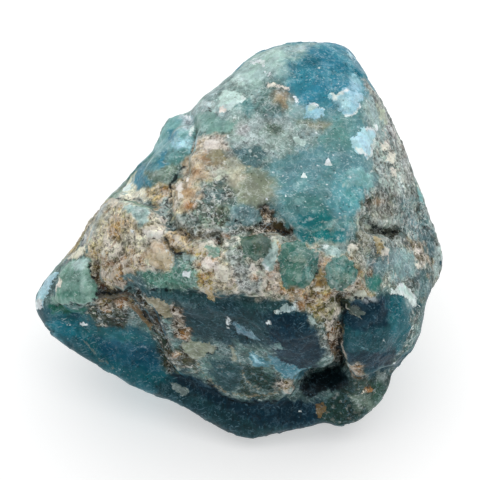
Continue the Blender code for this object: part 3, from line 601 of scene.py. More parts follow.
# the unseen back, drawn through the stone in the same pixels
backAreas = [
    ("seaTeal", "glass", 10, "150,60 300,20 400,60 460,250 430,440 20,440 20,200"),
    ("deepSky", "glass", 8, "236,40 350,30 384,96 356,140 290,132 240,90"),
    ("greyTeal", "misty", 8, "170,100 236,70 262,120 230,168 180,160"),
    ("stoneGrey", "grit", 8, "372,60 460,200 460,300 410,300 380,240 362,150"),
    ("cream", "crust", 7, "60,220 120,190 180,214 250,214 330,236 420,250 420,282 330,276 250,256 "
        "180,258 "
        "120,262 60,262"),
    ("tan", "crust", 7, "190,224 262,222 300,250 250,252 200,248"),
    ("grainGreen", "misty", 7, "250,256 340,262 350,300 300,324 246,306"),
    ("petrol", "glass", 8, "20,290 140,282 230,300 250,352 200,420 20,440"),
    ("slate", "fibre", 8, "230,320 330,324 420,330 380,440 220,450 180,400"),
    ("crystalBlue", "glass", 8, "340,290 430,286 440,340 400,380 340,350"),
    ("softBlue", "glass", 5, "250,60 300,50 330,70 320,100 280,108 252,92"),
    ("deepSky", "glass", 6, "300,70 350,60 366,90 340,116 306,104"),
    ("leafGreen", "glass", 4, "232,96 262,100 270,130 246,146 226,128"),
    ("clayGrey", "grit", 3, "272,112 300,116 306,140 280,148 266,132"),
    ("paleCyan", "misty", 4, "310,112 346,108 352,140 322,150 308,132"),
    ("seaTeal", "glass", 4, "330,140 366,130 380,160 360,186 334,174"),
    ("faceBlue", "glass", 5, "226,150 290,146 320,166 310,204 260,214 222,190"),
    ("deepTeal", "glass", 4, "262,190 300,186 312,214 286,230 258,218"),
    ("pinkGrey", "misty", 4, "180,150 214,146 226,170 206,190 182,178"),
    ("honey", "crust", 3, "150,170 178,160 190,184 170,204 148,194"),
    ("blueGrey", "grit", 3, "190,190 224,186 240,206 222,226 194,218"),
    ("jade", "misty", 3, "110,196 140,186 158,206 144,226 112,220"),
    ("lumpBlue", "glass", 3, "120,140 150,130 172,146 160,170 126,172"),
    ("ochre", "crust", 3, "70,232 100,226 112,246 92,262 68,254"),
    ("greyTeal", "misty", 3, "126,232 160,226 178,244 160,262 130,256"),
    ("tan", "crust", 3, "236,228 276,224 290,244 262,258 236,248"),
    ("grainSea", "misty", 2.5, "286,232 316,228 330,250 314,272 288,262"),
    ("grainGreen", "misty", 2.5, "334,236 362,232 374,252 358,272 336,262"),
    ("tan", "crust", 3, "370,262 398,256 410,276 392,292 370,284"),
    ("stormBlue", "misty", 3, "392,220 420,214 432,240 416,258 392,248"),
    ("slateBlue", "grit", 4, "380,160 408,156 424,190 410,212 384,200"),
    ("oceanBlue", "glass", 4, "60,280 100,274 120,300 92,322 58,312"),
    ("midnight", "glass", 5, "100,300 160,296 190,326 160,350 110,340"),
    ("mossGrey", "grit", 3, "150,270 190,266 206,290 186,310 152,302"),
    ("bronze", "crust", 3, "200,290 230,284 246,306 226,324 200,316"),
    ("navy", "fibre", 4, "250,300 310,296 330,330 300,352 254,344"),
    ("oceanBlue", "glass", 4, "350,300 390,296 404,326 380,350 350,338"),
    ("steelTeal", "fibre", 3, "200,330 240,326 256,356 230,374 200,362"),
    ("pineGreen", "misty", 3, "270,350 310,346 322,372 296,388 268,378"),
    ("slateDark", "grit", 3, "320,350 350,346 362,372 340,386 318,378"),
    ("lagoon", "glass", 4, "120,350 170,346 186,376 150,394 118,380"),
]

backPatches = [
    ("brightBlue", "300,84 316,80 326,90 320,100 306,100"), ("iceBlue", "340,120 352,116 360,128 "
        "350,138 340,132"),
    ("frost", "236,80 248,76 252,84 242,90"), ("paleSea", "206,110 224,104 232,116 220,126 206,122"),
    ("bone", "262,108 272,104 280,112 270,118"), ("bone", "160,150 170,146 174,156 164,160"),
    ("frost", "286,170 294,166 298,174 290,178"), ("oldGold", "196,160 208,158 212,170 200,174"),
    ("pineGreen", "240,240 260,236 268,252 256,264 242,258"), ("frost", "330,200 340,196 346,206 "
        "336,212"),
    ("bone", "300,268 312,264 316,274 304,278"), ("flakeMid", "170,320 186,316 194,330 180,338"),
    ("frost", "280,316 292,312 298,322 286,328"), ("brightBlue", "366,310 378,306 386,318 374,326"),
    ("copper", "120,262 132,258 138,272 126,278"), ("stoneGrey", "220,350 232,346 238,358 226,364"),
    ("bone", "400,236 410,232 414,244 404,248"), ("olive", "96,262 108,258 116,270 104,278"),
    ("paleJade", "84,216 98,210 106,222 94,230"),
]

# cracks on the back, painted dark as shade: half width in pixels, line
backCracks = [
    (0.5, "230,150 246,160 262,158 280,166"), (0.6, "160,214 180,222 210,226 240,222 270,226"),
    (0.6, "120,268 150,272 190,264 230,270 262,264"), (0.5, "330,220 350,226 374,222 400,230"),
    (0.7, "250,290 262,310 256,332 262,350"), (0.5, "340,288 346,310 340,336"),
]

backVeins = [
    ("mist", 0.5, "240,110 262,120 290,116 312,124"), ("bone", 0.5, "360,150 372,176 380,206 376,236"),
    ("mist", 0.4, "90,300 130,312 170,308 210,320"), ("frost", 0.4, "300,60 312,76 310,96"),
    ("mist", 0.5, "212,240 250,246 290,240 330,246"),
]


def signedDepth(x, y, outline, reach=16.0):
    # pixels inside a closed outline, or less than nothing outside it
    corners = pixels(outline)
    depth = np.full(len(x), -reach)
    low = corners.min(0) - reach
    high = corners.max(0) + reach
    near = np.flatnonzero((x > low[0]) & (x < high[0]) & (y > low[1]) & (y < high[1]))
    if len(near) == 0:
        return depth
    px = x[near]
    py = y[near]
    held = np.zeros(len(near), bool)
    for start, end in zip(corners, np.roll(corners, -1, axis=0)):
        spans = (start[1] > py) != (end[1] > py)
        rise = end[1] - start[1] if end[1] != start[1] else 1e-9
        held ^= spans & (px < start[0] + (py - start[1]) * (end[0] - start[0]) / rise)
    gap = lineGap(px, py, np.vstack([corners, corners[:1]]))
    depth[near] = np.where(held, gap, -gap)
    return depth


def lineGap(x, y, corners):
    nearest = np.full(len(x), np.inf)
    for start, end in zip(corners, corners[1:]):
        run = end - start
        share = np.clip(((x - start[0]) * run[0] + (y - start[1]) * run[1]) / (run @ run), 0, 1)
        gap = np.hypot(x - start[0] - share * run[0], y - start[1] - share * run[1])
        nearest = np.minimum(nearest, gap)
    return nearest


def cloud(points, spacing, layer):
    # smooth random values from about -1 to 1, a blob every few spacings
    shift = Vector((3.7 * layer, 1.9 * layer, 5.1))
    return np.array([noise.noise(Vector(p) / spacing + shift) for p in points]) * 1.6


def roughCloud(points, spacing, layer):
    shift = Vector((2.3 * layer, 4.9 * layer, 0.7))
    return np.array([noise.fractal(Vector(p) / spacing + shift, 0.6, 2.1, 4) for p in points])


skin = dict(
    voxel=0.29 * mm,
    awayFrom=-0.1,
    keptShare=0.80,  # of all faces, so that the piece has under 200,000 triangles
    crackDepth=0.22 * mm,
    grainRise=0.10 * mm,
    crustFacet=1.5 * mm,
    crustRise=0.17 * mm,
    gritFacet=1.0 * mm,
    gritRise=0.09 * mm,
    glassFacet=5.0 * mm,
    glassTilt=0.03,
    glassRise=0.03 * mm,
    smallGlassFacet=2.2 * mm,
    smallGlassTilt=0.035,
    grainyRise=0.06 * mm,
    grainySize=0.8 * mm,
    grooveDepth=0.05 * mm,
    swaySize=1.5 * mm,
    swayReach=0.4 * mm,
    footFlat=0.1 * mm,  # no relief below this height, so that the foot stays flat
    footFade=1.2 * mm,
    boxSlack=0.3 * mm,
    smallHollow=0.05 * mm,  # the depth at which a hollow counts as 1
    wideHollow=0.2 * mm,
    fibreTurn=(math.radians(-50), 0, 0),
)


def copyOfStone():
    # the solid's own surface, merged, rounded and cut finer, so that it can hold small relief
    bpy.ops.object.select_all(action="DESELECT")
    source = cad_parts["apatite_stone"]
    stone = source.copy()
    stone.data = source.data.copy()
    stone.name = "stoneSkin"
    bpy.context.scene.collection.objects.link(stone)
    stone.data.materials.clear()
    stone.select_set(True)
    bpy.context.view_layer.objects.active = stone
    bpy.ops.object.mode_set(mode="EDIT")
    bpy.ops.mesh.select_all(action="SELECT")
    bpy.ops.mesh.remove_doubles(threshold=1e-6)
    bpy.ops.object.mode_set(mode="OBJECT")
    rounded = stone.modifiers.new("rounded", "SUBSURF")
    rounded.levels = 2
    rounded.render_levels = 2
    bpy.ops.object.modifier_apply(modifier=rounded.name)
    finer = stone.modifiers.new("finer", "REMESH")
    finer.mode = "VOXEL"
    finer.voxel_size = skin["voxel"]
    bpy.ops.object.modifier_apply(modifier=finer.name)
    eased = stone.modifiers.new("eased", "SMOOTH")
    eased.factor = 0.5
    eased.iterations = 4
    bpy.ops.object.modifier_apply(modifier=eased.name)
    # the half that faces away from the photograph gets larger faces
    away = stone.vertex_groups.new(name="away")
    square = facing(readPoints(stone.data), readNormals(stone.data))
    away.add(np.flatnonzero(square < skin["awayFrom"]).tolist(), 1.0, "REPLACE")
    lighter = stone.modifiers.new("lighter", "DECIMATE")
    lighter.ratio = skin["keptShare"]
    lighter.vertex_group = away.name
    bpy.ops.object.modifier_apply(modifier=lighter.name)
    stone.vertex_groups.clear()
    return stone


def readPoints(mesh):
    points = np.empty(len(mesh.vertices) * 3)
    mesh.vertices.foreach_get("co", points)
    return points.reshape(-1, 3)


def readNormals(mesh):
    normals = np.empty(len(mesh.vertices) * 3)
    mesh.vertex_normals.foreach_get("vector", normals)
    return normals.reshape(-1, 3)


def facing(points, normals):
    # how squarely each point faces the photograph's camera, 1 at most
    towards = np.array(photoView["aim"]) + viewAxes()[2] * photoView["distance"] - points
    towards /= np.linalg.norm(towards, axis=1)[:, None]
    return (normals * towards).sum(1)


def brokenFacets(points, size, seed):
    # the nearest broken face of each point: its own tilt and its own height
    chance = np.random.default_rng(seed)
    low = points.min(0) - 2 * size
    count = np.ceil((points.max(0) + 2 * size - low) / size).astype(int)
    places = np.stack(np.meshgrid(*[np.arange(c) for c in count], indexing="ij"), -1)
    middles = (places + chance.uniform(0.05, 0.95, places.shape)) * size + low
    tilts = chance.normal(0, 1, places.shape)
    heights = chance.uniform(-1, 1, places.shape[:3])
    home = np.floor((points - low) / size).astype(int)
    nearest = np.full(len(points), np.inf)
    slope = np.zeros(len(points))
    height = np.zeros(len(points))
    for step in np.ndindex(3, 3, 3):
        cell = tuple((home + np.array(step) - 1).T)
        offset = points - middles[cell]
        gap = np.linalg.norm(offset, axis=1)
        closer = gap < nearest
        slope = np.where(closer, (offset * tilts[cell]).sum(1), slope)
        height = np.where(closer, heights[cell], height)
        nearest = np.minimum(nearest, gap)
    return slope, height


def hollowness(mesh, points, normals, rounds):
    # how far each point lies below the surface around it
    ends = np.empty(len(mesh.edges) * 2, int)
    mesh.edges.foreach_get("vertices", ends)
    first, second = ends.reshape(-1, 2).T
    both = np.concatenate([first, second])
    other = np.concatenate([second, first])
    count = np.bincount(both, minlength=len(points))
    smooth = points.copy()
    for turn in range(rounds):
        sums = [np.bincount(both, smooth[other, axis], len(points)) for axis in range(3)]
        smooth = np.stack(sums, 1) / count[:, None]
    return ((smooth - points) * normals).sum(1)


def paintStone(stone):
    mesh = stone.data
    points = readPoints(mesh)
    square = facing(points, readNormals(mesh))
    frontShare = smoothStep(0.02, 0.30, square)
    seenX, seenY = seenAt(points)
    steep = 1 - smoothStep(0.1, 0.5, square)
    ragX = cloud(points, 1.1 * mm, 1)
    ragY = cloud(points, 1.1 * mm, 2)
    fineX = cloud(points, 0.5 * mm, 6)
    fineY = cloud(points, 0.5 * mm, 7)
    wideX = cloud(points, 5 * mm, 3)
    wideY = cloud(points, 5 * mm, 4)
    x = seenX + ragX * 2.8 + fineX * 2.2 + wideX * (1 + 12 * steep)
    y = seenY + ragY * 2.8 + fineY * 2.2 + wideY * (1 + 12 * steep)
    colour = np.zeros((len(points), 3))
    finish = np.zeros((len(points), 3))
    for areas, side in ((backAreas, 1 - frontShare), (frontAreas, frontShare)):
        areaColour = np.zeros((len(points), 3))
        areaFinish = np.zeros((len(points), 3))
        for name, finishName, softness, outline in areas:
            share = smoothStep(-softness, softness, signedDepth(x, y, outline))[:, None]
            areaColour = areaColour * (1 - share) + np.array(linearColour(palette[name])) * share
            areaFinish = areaFinish * (1 - share) + np.array(finishes[finishName]) * share
        colour += areaColour * side[:, None]
        finish += areaFinish * side[:, None]
    # sharp patches: how deep inside the nearest one, and its colour
    x = seenX + ragX * 1.4 + fineX * 1.1
    y = seenY + ragY * 1.4 + fineY * 1.1
    frontOnly = 12 * (1 - smoothStep(0.05, 0.2, square))
    backOnly = 12 * smoothStep(-0.2, -0.05, square)
    patchDepth = np.full(len(points), -16.0)
    patchColour = np.zeros((len(points), 3))
    for patches, hidden in ((backPatches, backOnly), (frontPatches, frontOnly)):
        for name, outline in patches:
            depth = signedDepth(x, y, outline) - hidden
            better = (depth > patchDepth) | (depth > 0)
            patchDepth = np.maximum(patchDepth, depth)
            patchColour[better] = linearColour(palette[name])
    for name, strength, places in stains:
        for atX, atY, halfWidth, halfHeight in pixels(places):
            spread = np.hypot((x - atX) / halfWidth, (y - atY) / halfHeight)
            share = (strength * (1 - smoothStep(0.35, 1.35, spread)))[:, None]
            stain = np.array(linearColour(palette[name]))
            colour += (stain - colour) * share * frontShare[:, None]
            patchColour += (stain - patchColour) * share * 0.7
    grainDepth = patchDepth.copy()
    for atX, atY, size in whiteChips:
        across = np.abs(seenX - atX) * 0.9 - (seenY - atY) * 0.5
        depth = 2.5 * (size * 0.5 - np.maximum(across, (seenY - atY) * 1.1)) - frontOnly
        better = depth > patchDepth
        patchDepth[better] = depth[better]
        patchColour[better] = linearColour(palette["frost"])
    crackGap = np.full(len(points), 16.0)
    for lines, hidden in ((backCracks, backOnly), (cracks, frontOnly)):
        for halfWidth, line in lines:
            crackGap = np.minimum(crackGap, lineGap(x, y, pixels(line)) - halfWidth + hidden)
    veinGap = np.full(len(points), 16.0)
    veinColour = np.zeros((len(points), 3))
    for lines, hidden in ((backVeins, backOnly), (veins, frontOnly)):
        for name, halfWidth, line in lines:
            gap = lineGap(x, y, pixels(line)) - halfWidth + hidden
            better = gap < veinGap
            veinGap[better] = gap[better]
            veinColour[better] = linearColour(palette[name])
    reliefStone(mesh, points, finish, grainDepth, crackGap)
    points = readPoints(mesh)
    normals = readNormals(mesh)
    storeColour(mesh, "area", colour)
    storeColour(mesh, "finish", finish)
    storeColour(mesh, "patch", patchColour)
    storeColour(mesh, "vein", veinColour)
    storeValue(mesh, "patchDepth", patchDepth)
    storeValue(mesh, "crackGap", crackGap)
    storeValue(mesh, "veinGap", veinGap)
    storeValue(mesh, "smallHollow", hollowness(mesh, points, normals, 8) / skin["smallHollow"])
    storeValue(mesh, "wideHollow", hollowness(mesh, points, normals, 60) / skin["wideHollow"])


def reliefStone(mesh, points, finish, grainDepth, crackGap):
    normals = readNormals(mesh)
    grit, crust = finish.T[:2]
    glass = np.clip(1 - grit, 0, 1)
    sway = np.stack([roughCloud(points, skin["swaySize"], layer) for layer in (11, 12, 13)], 1)
    bent = points + sway * skin["swayReach"]
    slope, height = brokenFacets(bent, skin["crustFacet"], 1)
    chips = height * 0.6 + slope / skin["crustFacet"] * 0.9
    rise = crust * skin["crustRise"] * chips
    slope, height = brokenFacets(bent, skin["gritFacet"], 2)
    rise += grit * skin["gritRise"] * (height * 0.6 + slope / skin["gritFacet"])
    slope, height = brokenFacets(bent, skin["glassFacet"], 3)
    rise += glass * (slope * skin["glassTilt"] + height * skin["glassRise"])
    slope, height = brokenFacets(bent, skin["smallGlassFacet"], 4)
    rise += glass * (slope * skin["smallGlassTilt"])
    rise += grit * skin["grainyRise"] * roughCloud(points, skin["grainySize"], 1)
    rise += skin["grainRise"] * smoothStep(-1.0, 3.0, grainDepth)
    rise -= skin["grooveDepth"] * (1 - smoothStep(0.0, 1.6, np.abs(grainDepth + 1.0)))
    deep = np.clip(0.6 + roughCloud(points, 1.6 * mm, 21), 0.1, 1.3)
    rise -= skin["crackDepth"] * deep * (1 - smoothStep(-0.6, 1.1, crackGap))
    foot = smoothStep(0.0, skin["footFade"], points[:, 2] - skin["footFlat"])
    points = points + normals * (rise * foot)[:, None]
    points[:, 2] = np.maximum(points[:, 2], 0)
    for axis in range(3):
        low = cadBox[0][axis] - skin["boxSlack"]
        high = cadBox[1][axis] + skin["boxSlack"]
        points[:, axis] = np.clip(points[:, axis], low, high)
    mesh.vertices.foreach_set("co", points.ravel())
    mesh.update()


def storeColour(mesh, name, values):
    layer = mesh.attributes.new(name, "FLOAT_COLOR", "POINT")
    full = np.ones((len(values), 4))
    full[:, :3] = values
    layer.data.foreach_set("color", full.ravel())


def storeValue(mesh, name, values):
    layer = mesh.attributes.new(name, "FLOAT", "POINT")
    layer.data.foreach_set("value", values)


def addNode(tree, kind, settings=None, inputs=None):
    # adds a shader node, with its settings, its values and its links
    node = tree.nodes.new("ShaderNode" + kind)
    for name, value in (settings or {}).items():
        setattr(node, name, value)
    for name, value in (inputs or {}).items():
        socket = node.inputs[name]
        if isinstance(value, bpy.types.NodeSocket):
            tree.links.new(value, socket)
        else:
            socket.default_value = value
    return node


def apatiteMaterial():
    # tumbled rough apatite: waxy polished calcium phosphate crystal, with cream and rusty crust
    material = bpy.data.materials.new("tumbledApatite")
    material.use_nodes = True
    tree = material.node_tree
    tree.nodes.clear()
    place = addNode(tree, "TexCoord").outputs["Object"]

    def attribute(name, output):
        return addNode(tree, "Attribute", dict(attribute_name=name)).outputs[output]

    def noiseNode(spacing, detail=3.0, roughness=0.6, distortion=0.0, vector=place):
        inputs = {"Vector": vector, "Scale": 1 / spacing, "Detail": detail, "Roughness": roughness,
                  "Distortion": distortion}
        return addNode(tree, "TexNoise", inputs=inputs).outputs

    def noiseOf(*values, **named):
        return noiseNode(*values, **named)["Fac"]

    def maths(operation, first, second=0.0, third=0.0, clamp=False):
        settings = dict(operation=operation, use_clamp=clamp)
        return addNode(tree, "Math", settings, {0: first, 1: second, 2: third}).outputs[0]

    def ramp(value, low, high, toLow=0.0, toHigh=1.0):
        inputs = {"Value": value, "From Min": low, "From Max": high, "To Min": toLow, "To Max": toHigh}
        return addNode(tree, "MapRange", dict(interpolation_type="SMOOTHSTEP"), inputs).outputs["Result"]

    def both(first, second, third=1.0):
        return maths("MULTIPLY", maths("MULTIPLY", first, second), third)

    def mix(share, first, second, blend="MIX"):
        node = addNode(tree, "Mix", dict(data_type="RGBA", blend_type=blend), {0: share, 6: first, 7: second})
        return node.outputs[2]

    def named(name):
        return (*linearColour(palette[name]), 1)

    def scaled(colour, factor):
        grey = addNode(tree, "CombineColor", inputs={0: factor, 1: factor, 2: factor}).outputs[0]
        return mix(1.0, colour, grey, "MULTIPLY")

    def bentPlace(spacing, amount):
        sway = addNode(tree, "VectorMath", dict(operation="SUBTRACT"),
                       {0: noiseNode(spacing, 3, 0.6)["Color"], 1: (0.5, 0.5, 0.5)}).outputs[0]
        return addNode(tree, "VectorMath", dict(operation="MULTIPLY_ADD"),
                       {0: sway, 1: (amount, amount, amount), 2: place}).outputs[0]

    def cells(spacing, vector, feature="F1"):
        return addNode(tree, "TexVoronoi", dict(feature=feature),
                       {"Vector": vector, "Scale": 1 / spacing, "Randomness": 1.0}).outputs

    def parts(colour):
        return addNode(tree, "SeparateColor", inputs={"Color": colour}).outputs

    area = attribute("area", "Color")
    grit, crust, fibre = parts(attribute("finish", "Color"))[0:3]
    hollow = attribute("smallHollow", "Fac")
    wideHollow = attribute("wideHollow", "Fac")

    fine = noiseOf(0.40 * mm, 4, 0.7)
    speckle = noiseOf(0.20 * mm, 2, 0.7)
    medium = noiseOf(1.3 * mm, 5, 0.65)
    wide = noiseOf(4 * mm, 4, 0.55)
    bent = bentPlace(1.0 * mm, 1.0 * mm)
    bentFine = bentPlace(0.5 * mm, 0.6 * mm)
    shards = parts(cells(0.80 * mm, bent)["Color"])
    crumbs = parts(cells(0.38 * mm, bentFine)["Color"])
    grains = parts(cells(0.24 * mm, bentFine)["Color"])
    dots = cells(0.50 * mm, place)
    dotChance = parts(dots["Color"])
    seams = cells(2.4 * mm, bent, "DISTANCE_TO_EDGE")["Distance"]

    def stretched(turn, width, length):
        return addNode(tree, "Mapping", dict(vector_type="TEXTURE"), {
            "Vector": bentPlace(2.5 * mm, 0.8 * mm), "Rotation": turn,
            "Scale": (width, width, length)}).outputs[0]

    def strokes(turn, width, length, chance):
        # short straight scratches along one direction
        turned = stretched(turn, width, length)
        stroke = addNode(tree, "TexVoronoi", inputs={"Vector": turned, "Scale": 1.0}).outputs
        drawn = ramp(parts(stroke["Color"])[0], chance, chance + 0.02)
        return both(ramp(stroke["Distance"], 0.42, 0.22), drawn)

    # ragged edges of the patches, cracks and veins
    rag = maths("MULTIPLY_ADD", fine, 3.6, -1.8)
    jag = maths("MULTIPLY_ADD", crumbs[0], 1.8, -0.9)
    ragged = maths("ADD", rag, jag)
    patchShare = ramp(maths("ADD", attribute("patchDepth", "Fac"), ragged), -0.6, 0.6)
    veinShare = ramp(maths("ADD", attribute("veinGap", "Fac"), ragged), 0.6, -0.6)
    crackShadeShare = ramp(maths("ADD", attribute("crackGap", "Fac"), ragged), 0.8, -0.8)

    colour = mix(patchShare, area, attribute("patch", "Color"))
    colour = mix(maths("MULTIPLY", veinShare, 0.75), colour, attribute("vein", "Color"))
    rough = maths("MULTIPLY", grit, maths("MULTIPLY_ADD", patchShare, -0.70, 1.0))
    crusty = maths("MULTIPLY", crust, maths("MULTIPLY_ADD", patchShare, -0.85, 1.0))

    # the crust is a mosaic of bone, rust, umber and green crumbs
    colour = mix(both(ramp(shards[1], 0.70, 0.74), crusty, 0.50), colour, named("bone"))
    goldField = noiseOf(3.8 * mm, 4, 0.6, 0.5)
    colour = mix(both(ramp(goldField, 0.48, 0.60), crusty, 0.45), colour, named("ochre"))
    rustField = noiseOf(2.4 * mm, 5, 0.65, 0.6)
    colour = mix(both(ramp(rustField, 0.51, 0.60), crusty, 0.60), colour, named("rust"))
    colour = mix(both(ramp(shards[2], 0.80, 0.84), crusty, 0.28), colour, named("grainGreen"))
    colour = mix(both(ramp(crumbs[1], 0.82, 0.86), crusty, 0.65), colour, named("umber"))
    crumbEdge = cells(0.80 * mm, bent, "DISTANCE_TO_EDGE")["Distance"]
    gap = both(ramp(crumbEdge, 0.07, 0.01), ramp(fine, 0.44, 0.58), crusty)
    colour = mix(maths("MULTIPLY", gap, 0.75), colour, named("earth"))
    gritty = ramp(rough, 0.25, 1.0)
    colour = mix(both(ramp(crumbs[2], 0.86, 0.90), gritty, 0.45), colour, named("earth"))
    colour = mix(both(ramp(crumbs[1], 0.14, 0.10), gritty, 0.38), colour, named("bone"))

    # cloudy changes of tone in the crystal, and shards that catch the light differently
    tone = maths("ADD", maths("MULTIPLY", medium, 0.8), maths("MULTIPLY", wide, 0.6))
    even = ramp(rough, 0.1, 0.8, 0.78, 0.58)
    colour = scaled(colour, ramp(tone, 0.48, 0.92, even, ramp(rough, 0.1, 0.8, 1.2, 1.45)))
    greener = mix(1.0, colour, (0.96, 1.02, 0.98, 1), "MULTIPLY")
    bluer = mix(1.0, colour, (1.00, 0.99, 1.03, 1), "MULTIPLY")
    colour = mix(ramp(noiseOf(2.8 * mm, 4, 0.6), 0.40, 0.60), greener, bluer)
    shardTone = maths("MULTIPLY_ADD", shards[0], 0.4, both(maths("ADD", crumbs[0], grains[0]), 0.3))
    spread = maths("ADD", ramp(rough, 0.0, 1.0, 0.34, 1.30), maths("MULTIPLY", patchShare, 0.12))
    spread = maths("MULTIPLY_ADD", crusty, 0.25, spread)
    colour = scaled(colour, maths("MULTIPLY_ADD", maths("SUBTRACT", shardTone, 0.5), spread, 1.0))

    # what shows pale on the crystal is its own colour, whiter, and bone on the crust
    light = addNode(tree, "RGBToBW", inputs={"Color": colour}).outputs[0]
    icy = mix(ramp(light, 0.02, 0.20), named("flakeDeep"), named("frost"))
    pale = mix(ramp(light, 0.0, 0.30, 0.16, 0.46), scaled(colour, 1.8), icy)
    pale = mix(crusty, pale, named("bone"))
    bright = mix(ramp(light, 0.0, 0.30, 0.75, 0.66), scaled(colour, 1.8), icy)
    bright = mix(crusty, bright, named("bone"))
    deep = mix(rough, scaled(colour, 0.35), named("earth"))

    # ridges are painted pale as highlights, and hollows are painted dark as shade, browner on the grit
    colour = mix(both(ramp(hollow, -0.5, -2.4), ramp(rough, 0, 1, 0.30, 0.55)), colour, pale)
    hollowShade = maths("ADD", ramp(hollow, 0.6, 2.6), ramp(wideHollow, 0.8, 3.4, 0.0, 0.6), clamp=True)
    colour = mix(both(hollowShade, ramp(rough, 0, 1, 0.30, 0.62)), colour, deep)

    # milky haze, salt and pepper, small chips and pits
    haze = both(ramp(noiseOf(2.0 * mm, 6, 0.75), 0.52, 0.70), ramp(light, 0.0, 0.2, 0.12, 0.36))
    colour = mix(haze, colour, pale)
    salt = both(ramp(speckle, 0.60, 0.65), ramp(medium, 0.48, 0.60), ramp(rough, 0.0, 1.0, 0.40, 0.90))
    colour = mix(salt, colour, bright)
    pepper = both(ramp(fine, 0.40, 0.32), ramp(medium, 0.60, 0.44), ramp(rough, 0.0, 1.0, 0.45, 0.70))
    colour = mix(pepper, colour, deep)
    fleckPlace = ramp(noiseOf(3.5 * mm, 3, 0.6), 0.46, 0.58)
    fleck = both(ramp(dots["Distance"], 0.26, 0.18), ramp(dotChance[0], 0.90, 0.91), fleckPlace)
    colour = mix(fleck, colour, bright)
    pit = both(ramp(dots["Distance"], 0.30, 0.18), ramp(dotChance[1], 0.84, 0.86), 0.75)
    colour = mix(pit, colour, deep)

    # thin threads along the edges of the shards: pale ones are painted highlights, dark ones painted shade
    def threads(spacing, width, low, high):
        middle = maths("ABSOLUTE", maths("SUBTRACT", noiseOf(spacing, 6, 0.72, 0.8), 0.5))
        return both(ramp(middle, width, width * 0.2), ramp(noiseOf(spacing * 1.7, 4, 0.7), low, high))

    def edges(spacing, width, low, high):
        border = cells(spacing, bentFine, "DISTANCE_TO_EDGE")["Distance"]
        return both(ramp(border, width, width * 0.3), ramp(noiseOf(spacing * 1.6, 4, 0.7), low, high))

    highlightThreads = maths("MAXIMUM", edges(0.8 * mm, 0.10, 0.50, 0.56), threads(2.0 * mm, 0.014, 0.50, 0.56))
    colour = mix(both(highlightThreads, ramp(rough, 0.1, 0.9, 0.22, 0.90)), colour, bright)
    shade = maths("MAXIMUM", edges(1.1 * mm, 0.09, 0.50, 0.56), threads(1.2 * mm, 0.022, 0.54, 0.60))
    colour = mix(both(shade, ramp(rough, 0.1, 0.9, 0.12, 0.65)), colour, deep)

    # fine lineation in the dark blue crystal, up and down the broad face
    lines = addNode(tree, "TexNoise", inputs={
        "Vector": stretched(skin["fibreTurn"], 0.30 * mm, 2.4 * mm), "Scale": 1.0,
        "Detail": 4.0, "Roughness": 0.65}).outputs["Fac"]
    colour = mix(both(ramp(lines, 0.48, 0.36), fibre, 0.55), colour, deep)
    colour = mix(both(ramp(lines, 0.63, 0.70), ramp(wide, 0.42, 0.56), both(fibre, 0.55)), colour, bright)

    # pale healed seams between grains, and thin scratches
    seam = both(ramp(seams, 0.035, 0.0), ramp(noiseOf(1.2 * mm, 3, 0.6), 0.50, 0.60), 0.55)
    colour = mix(seam, colour, pale)
    scratchPlace = ramp(noiseOf(3.0 * mm, 3, 0.6), 0.40, 0.56)
    scratch = maths("MAXIMUM", strokes((0.3, 1.1, 0.4), 0.22 * mm, 1.6 * mm, 0.84),
                    strokes((1.3, -0.5, 0.9), 0.20 * mm, 1.3 * mm, 0.84))
    scratch = maths("MAXIMUM", scratch, strokes((-0.7, 0.6, 2.0), 0.20 * mm, 1.1 * mm, 0.86))
    colour = mix(both(scratch, scratchPlace, 0.60), colour, bright)

    # painted shade in the cracks, clefts and under overhangs
    colour = mix(maths("MULTIPLY", crackShadeShare, 0.9), colour, named("creviceShade"))

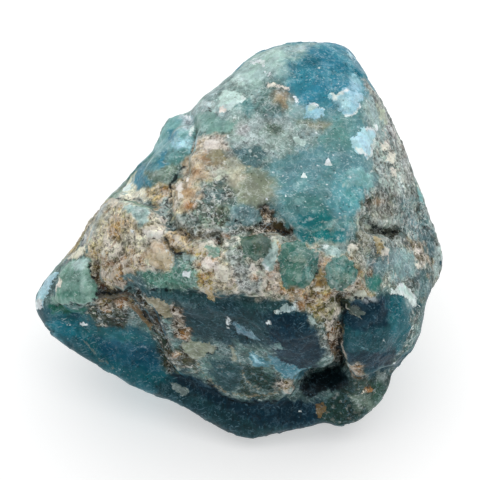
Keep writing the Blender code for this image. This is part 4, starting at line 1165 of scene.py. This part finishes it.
    roughness = maths("ADD", ramp(rough, 0.0, 1.0, 0.34, 0.66), ramp(fine, 0.3, 0.7, -0.06, 0.08))
    height = maths("ADD", maths("MULTIPLY", fine, maths("MULTIPLY_ADD", rough, 0.7, 0.2)),
                   maths("MULTIPLY", shardTone, maths("MULTIPLY_ADD", rough, 0.8, 0.2)))
    uneven = {"Strength": 0.7, "Distance": 0.16 * mm, "Height": height}
    bump = addNode(tree, "Bump", inputs=uneven).outputs["Normal"]
    shader = addNode(tree, "BsdfPrincipled", inputs={
        "Base Color": colour, "Roughness": roughness, "IOR": 1.63, "Specular IOR Level": 0.09, "Normal": bump,
    })
    output = addNode(tree, "OutputMaterial", inputs={"Surface": shader.outputs[0]})
    output.is_active_output = True
    return material


def buildStone():
    stone = copyOfStone()
    print("the stone's surface has", len(stone.data.vertices), "points")
    paintStone(stone)
    stone.data.shade_smooth()
    stone.data.materials.append(apatiteMaterial())
    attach(stone, "root")
    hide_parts("apatite_stone")
    print("the stone is painted")


# a light table: white paper glowing a little from below, under one large softbox
studio = dict(
    floorSize=3.0,
    floorColour="#d6d6d6",
    floorGlow=0.48,
    sky=0.33,
    softboxSize=1.6,
    softboxPower=10.5,
    softboxPlace=(0.05, 0.20, 0.90),
)


def addStudio():
    bpy.ops.object.select_all(action="DESELECT")
    bpy.ops.mesh.primitive_plane_add(size=studio["floorSize"])
    floor = bpy.context.object
    floor.name = "floor"
    paper = bpy.data.materials.new("whitePaper")
    paper.use_nodes = True
    shader = paper.node_tree.nodes["Principled BSDF"]
    shader.inputs["Base Color"].default_value = (*linearColour(studio["floorColour"]), 1)
    shader.inputs["Roughness"].default_value = 0.9
    shader.inputs["Specular IOR Level"].default_value = 0.1
    shader.inputs["Emission Color"].default_value = (1, 1, 1, 1)
    shader.inputs["Emission Strength"].default_value = studio["floorGlow"]
    floor.data.materials.append(paper)
    world = bpy.data.worlds.new("softRoom")
    world.use_nodes = True
    world.node_tree.nodes["Background"].inputs["Color"].default_value = (1, 1, 1, 1)
    world.node_tree.nodes["Background"].inputs["Strength"].default_value = studio["sky"]
    bpy.context.scene.world = world
    softbox = bpy.data.lights.new("overheadSoftbox", "AREA")
    softbox.size = studio["softboxSize"]
    softbox.energy = studio["softboxPower"]
    lamp = bpy.data.objects.new("overheadSoftbox", softbox)
    lamp.location = studio["softboxPlace"]
    lamp.rotation_euler = Vector(lamp.location).to_track_quat("Z", "Y").to_euler()
    bpy.context.scene.collection.objects.link(lamp)
    bpy.context.scene.view_settings.view_transform = "Standard"


buildStone()
addStudio()
print("floor and lights are in place")
